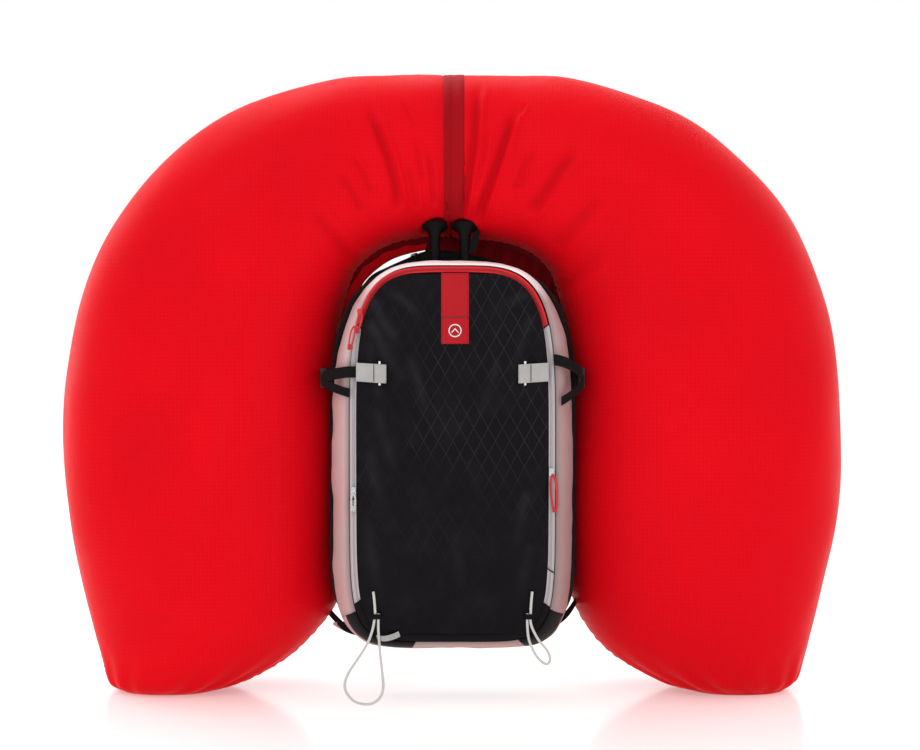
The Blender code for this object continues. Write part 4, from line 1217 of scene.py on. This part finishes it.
def carried_over():
    """CAD nodes that stay, each with its own finish."""
    repaint(("venturi_manifold", "trigger_cable", "frame_sheet"), "plastic")
    repaint(("piercing_pin", "cartridge_collar", "trigger_cam"), "steel")
    repaint(("gas_cartridge", "trigger_valve"), "alu")
    repaint(("compartment_divider", "handle_dock"), "black")


# ---------------------------------------------------------------- buckles, sliders, handle


def bar(u0, u1, v0, v1):
    return [(u0, v0), (u1, v0), (u1, v1), (u0, v1)]


def both(outline):
    """A half outline above the axis, closed by its mirror image below."""
    return outline + [(u, -v) for u, v in reversed(outline)]


def buckle(kind, place, size, bodies):
    """A side-release buckle with its mouth at 0: the latch ahead of it, the tongue behind.

    Its outlines are in shares of its length and of half its height."""
    length, depth, height = size
    d, wall = depth / 2, depth * 0.2

    def mould(part, shapes, body):
        scaled = [([(u * length, v * height / 2) for u, v in outline], *rest)
                  for outline, *rest in shapes]
        moulding("%s_buckle_%s" % (kind, part), scaled, place, "plastic", body, [kind_node(kind, part)])

    face = both([(0.0, 0.8), (0.08, 0.92), (0.16, 0.72), (0.4, 0.62), (0.54, 0.8), (0.62, 1.0),
                 (0.96, 1.0), (1.0, 0.9)])
    inside = wall - d, d - wall, 0.0002
    mould("latch", [
        (face, d - wall, d, wall * 0.3), (face, wall - d, -d, wall * 0.3),
        (bar(0.56, 0.64, -0.96, 0.96), *inside), (bar(0.88, 0.98, -0.94, 0.94), *inside),
        (both([(0.66, 0.7), (0.71, 0.7)]), d, d + 0.0001, 0.00003),
        (bar(0.02, 0.6, 0.26, 0.34), *inside), (bar(0.02, 0.6, -0.34, -0.26), *inside)], bodies[0])
    arm = [(-0.06, 0.44), (0.2, 0.44), (0.34, 0.52), (0.46, 0.5), (0.49, 0.58), (0.42, 0.86),
           (0.24, 0.92), (0.16, 0.7), (-0.06, 0.66)]
    thick, side, thin = ((-d * share, d * share, edge) for share, edge in (
        (0.9, wall * 0.4), (0.7, 0.0003), (0.46, 0.0003)))
    mould("tongue", [
        (bar(-0.43, -0.33, -1.0, 1.0), *thick),
        (both([(-0.16, 1.0), (-0.03, 1.0), (-0.01, 0.72)]), *thick),
        (bar(-0.4, -0.08, 0.82, 1.0), *side), (bar(-0.4, -0.08, -1.0, -0.82), *side),
        (arm, *thin), ([(u, -v) for u, v in arm], *thin),
        (bar(-0.06, 0.44, -0.12, 0.12), *thin)], bodies[1])


def kind_node(kind, part):
    """The CAD node's name: the side comes last in a compression buckle's."""
    if kind.startswith("compression"):
        return "compression_%s_%s" % (part, kind.split("_")[1])
    return "%s_%s" % (kind, part)


def build_buckles():
    for kind, (x, y, z), size, bodies in (
        ("sternum", (0.04, 0.1305, STERNUM_Z), (0.026, 0.009, 0.024), ("sternum", "sternum_half")),
        ("hip", (0.03, 0.1585, BELT_Z), (0.04, 0.012, 0.036), ("pack", "belt_half")),
    ):
        buckle(kind, lambda u, v, w, x=x, y=y, z=z: (x + u, y + w, z + v), size, bodies)
    x, z = BUCKLE
    for side, label in SIDES:
        buckle("compression_" + label, lambda u, v, w, side=side: (side * (x + w), -0.0883 + u, z + v),
               (0.031, 0.01, 0.026), ("pack", "tongue_" + label))


def build_sliders():
    """Zip sliders: a waisted body with a raised bridge."""
    y = ZIP_Y - 0.0033
    for name, x, z, half, tall, mat, body in (
        ("side_slider_left", -0.1308, 0.295, 0.0034, 0.0108, "steel", "slider_left"),
        ("side_slider_right", 0.1308, 0.32, 0.0034, 0.0108, "steel", "slider_right"),
        ("main_slider", -0.1218, 0.5265, 0.0036, 0.019, "red_plastic", "flap"),
    ):
        h = tall / 2
        edge = [(half * 0.72, h), (half, h * 0.72), (half * 0.86, 0.0), (half, -h * 0.55),
                (half * 0.66, -h)]
        outline = edge + [(-u, v) for u, v in reversed(edge)]
        bridge = [(-0.0009, h * 0.62), (0.0009, h * 0.62), (0.0009, -h * 0.62), (-0.0009, -h * 0.62)]
        moulding(name + "_body", [(outline, -0.0013, 0.0006, 0.0003), (bridge, -0.0017, -0.0011, 0.0002)],
                 lambda u, v, w, x=x, z=z: (x + u, y + w, z + v), mat, body, [name])


def build_handle():
    """The release handle: a ribbed grip that narrows to the stem held in its dock."""
    x, y, low = -0.087, 0.134, 0.306
    grip, top = 0.064, 0.1028
    ribs, grip_share = 9, 0.72
    rows = []
    for k in range(81):
        t = k / 80
        if t < grip_share:
            u = t / grip_share
            end = (1 - abs(2 * u - 1) ** 7) ** 0.5
            rib = 0.0007 * math.sin(u * 2 * math.pi * ribs) * smooth((0.5 - abs(u - 0.5)) / 0.15)
            wide, deep, height = 0.0112 * end + rib, 0.0072 * end + rib, low + grip * u
            if u > 0.9:
                wide, deep = max(wide, 0.005), max(deep, 0.003)
        else:
            u = (t - grip_share) / (1 - grip_share)
            wide, deep, height = 0.005 - 0.0004 * u, 0.003 - 0.0002 * u, low + grip + (top - grip) * u
        wide, deep = max(wide, 0.0004), max(deep, 0.0004)
        rows.append([(x + wide * math.copysign(abs(math.cos(a)) ** 0.6, math.cos(a)),
                      y + deep * math.copysign(abs(math.sin(a)) ** 0.6, math.sin(a)), height)
                     for a in turns(40)])
    obj = surface("release_handle_grip", rows, closed=True, caps=True)
    link(outward(obj), "red_plastic", "handle", ["trigger_handle"])


# ---------------------------------------------------------------- camera, light and floor


def build_stage():
    """The camera in front of the pack, a pale floor, a white studio and five soft lights."""
    scene = bpy.context.scene
    camera = bpy.data.objects.new("camera", bpy.data.cameras.new("camera"))
    camera.data.lens = 74.8
    camera.location = (0.01, -2.67, 0.545)
    camera.rotation_euler = (math.radians(90 - 2.2), 0, 0)
    scene.collection.objects.link(camera)
    scene.camera = camera
    floor_mat = Net("pale_floor", (0.92, 0.92, 0.92), 0.16, Specular_IOR_Level=0.5,
                    Emission_Color=(1.0, 1.0, 1.0, 1.0), Emission_Strength=0.28)
    floor_mat.bump(floor_mat.noise(60.0, 2.0), 0.00003)
    mesh = bpy.data.meshes.new("floor")
    far, level = 8, -0.0006
    mesh.from_pydata([(x, y, level) for x, y in bar(-far, far, -far, far)], [], [(0, 1, 2, 3)])
    floor = bpy.data.objects.new("floor", mesh)
    floor.data.materials.append(floor_mat.done())
    scene.collection.objects.link(floor)
    world = bpy.data.worlds.new("studio")
    world.use_nodes = True
    back = world.node_tree.nodes["Background"]
    back.inputs["Color"].default_value = (1, 1, 1, 1)
    back.inputs["Strength"].default_value = 1.0
    scene.world = world
    for name, place, size, power, target in (
        ("key", (-1.0, -2.6, 2.2), (1.4, 1.2), 12, (0, 0, 0.4)),
        ("fill", (1.8, -2.2, 1.2), (1.4, 1.4), 4, (0, 0, 0.4)),
        ("rim_left", (-2.2, 1.3, 1.1), (1.6, 2.2), 19, (-0.3, 0, 0.45)),
        ("rim_right", (2.2, 1.3, 1.1), (1.6, 2.2), 7, (0.3, 0, 0.45)),
        ("top", (-0.7, 0.7, 2.6), (2.2, 1.2), 28, (0, 0, 0.6)),
    ):
        light = bpy.data.lights.new(name, "AREA")
        light.shape = "RECTANGLE"
        light.size, light.size_y = size
        light.energy = power
        obj = bpy.data.objects.new(name, light)
        obj.location = place
        obj.rotation_euler = (Vector(target) - Vector(place)).to_track_quat("-Z", "Y").to_euler()
        obj.visible_camera = False
        scene.collection.objects.link(obj)
    scene.view_settings.view_transform = "Standard"
    scene.view_settings.look = "None"


def build():
    left = air_chamber(-1, "left")
    right = air_chamber(1, "right")
    centre_strip(left, right)
    build_skirt()
    build_yoke()
    build_intakes()
    build_seam()
    build_shell()
    build_front()
    build_trim()
    build_zips()
    build_pulls()
    for side, label in SIDES:
        build_keepers(side, label)
        build_shoulders(side, label)
    build_loops()
    build_belt()
    build_back()
    build_buckles()
    build_sliders()
    build_handle()
    carried_over()
    build_stage()


build()
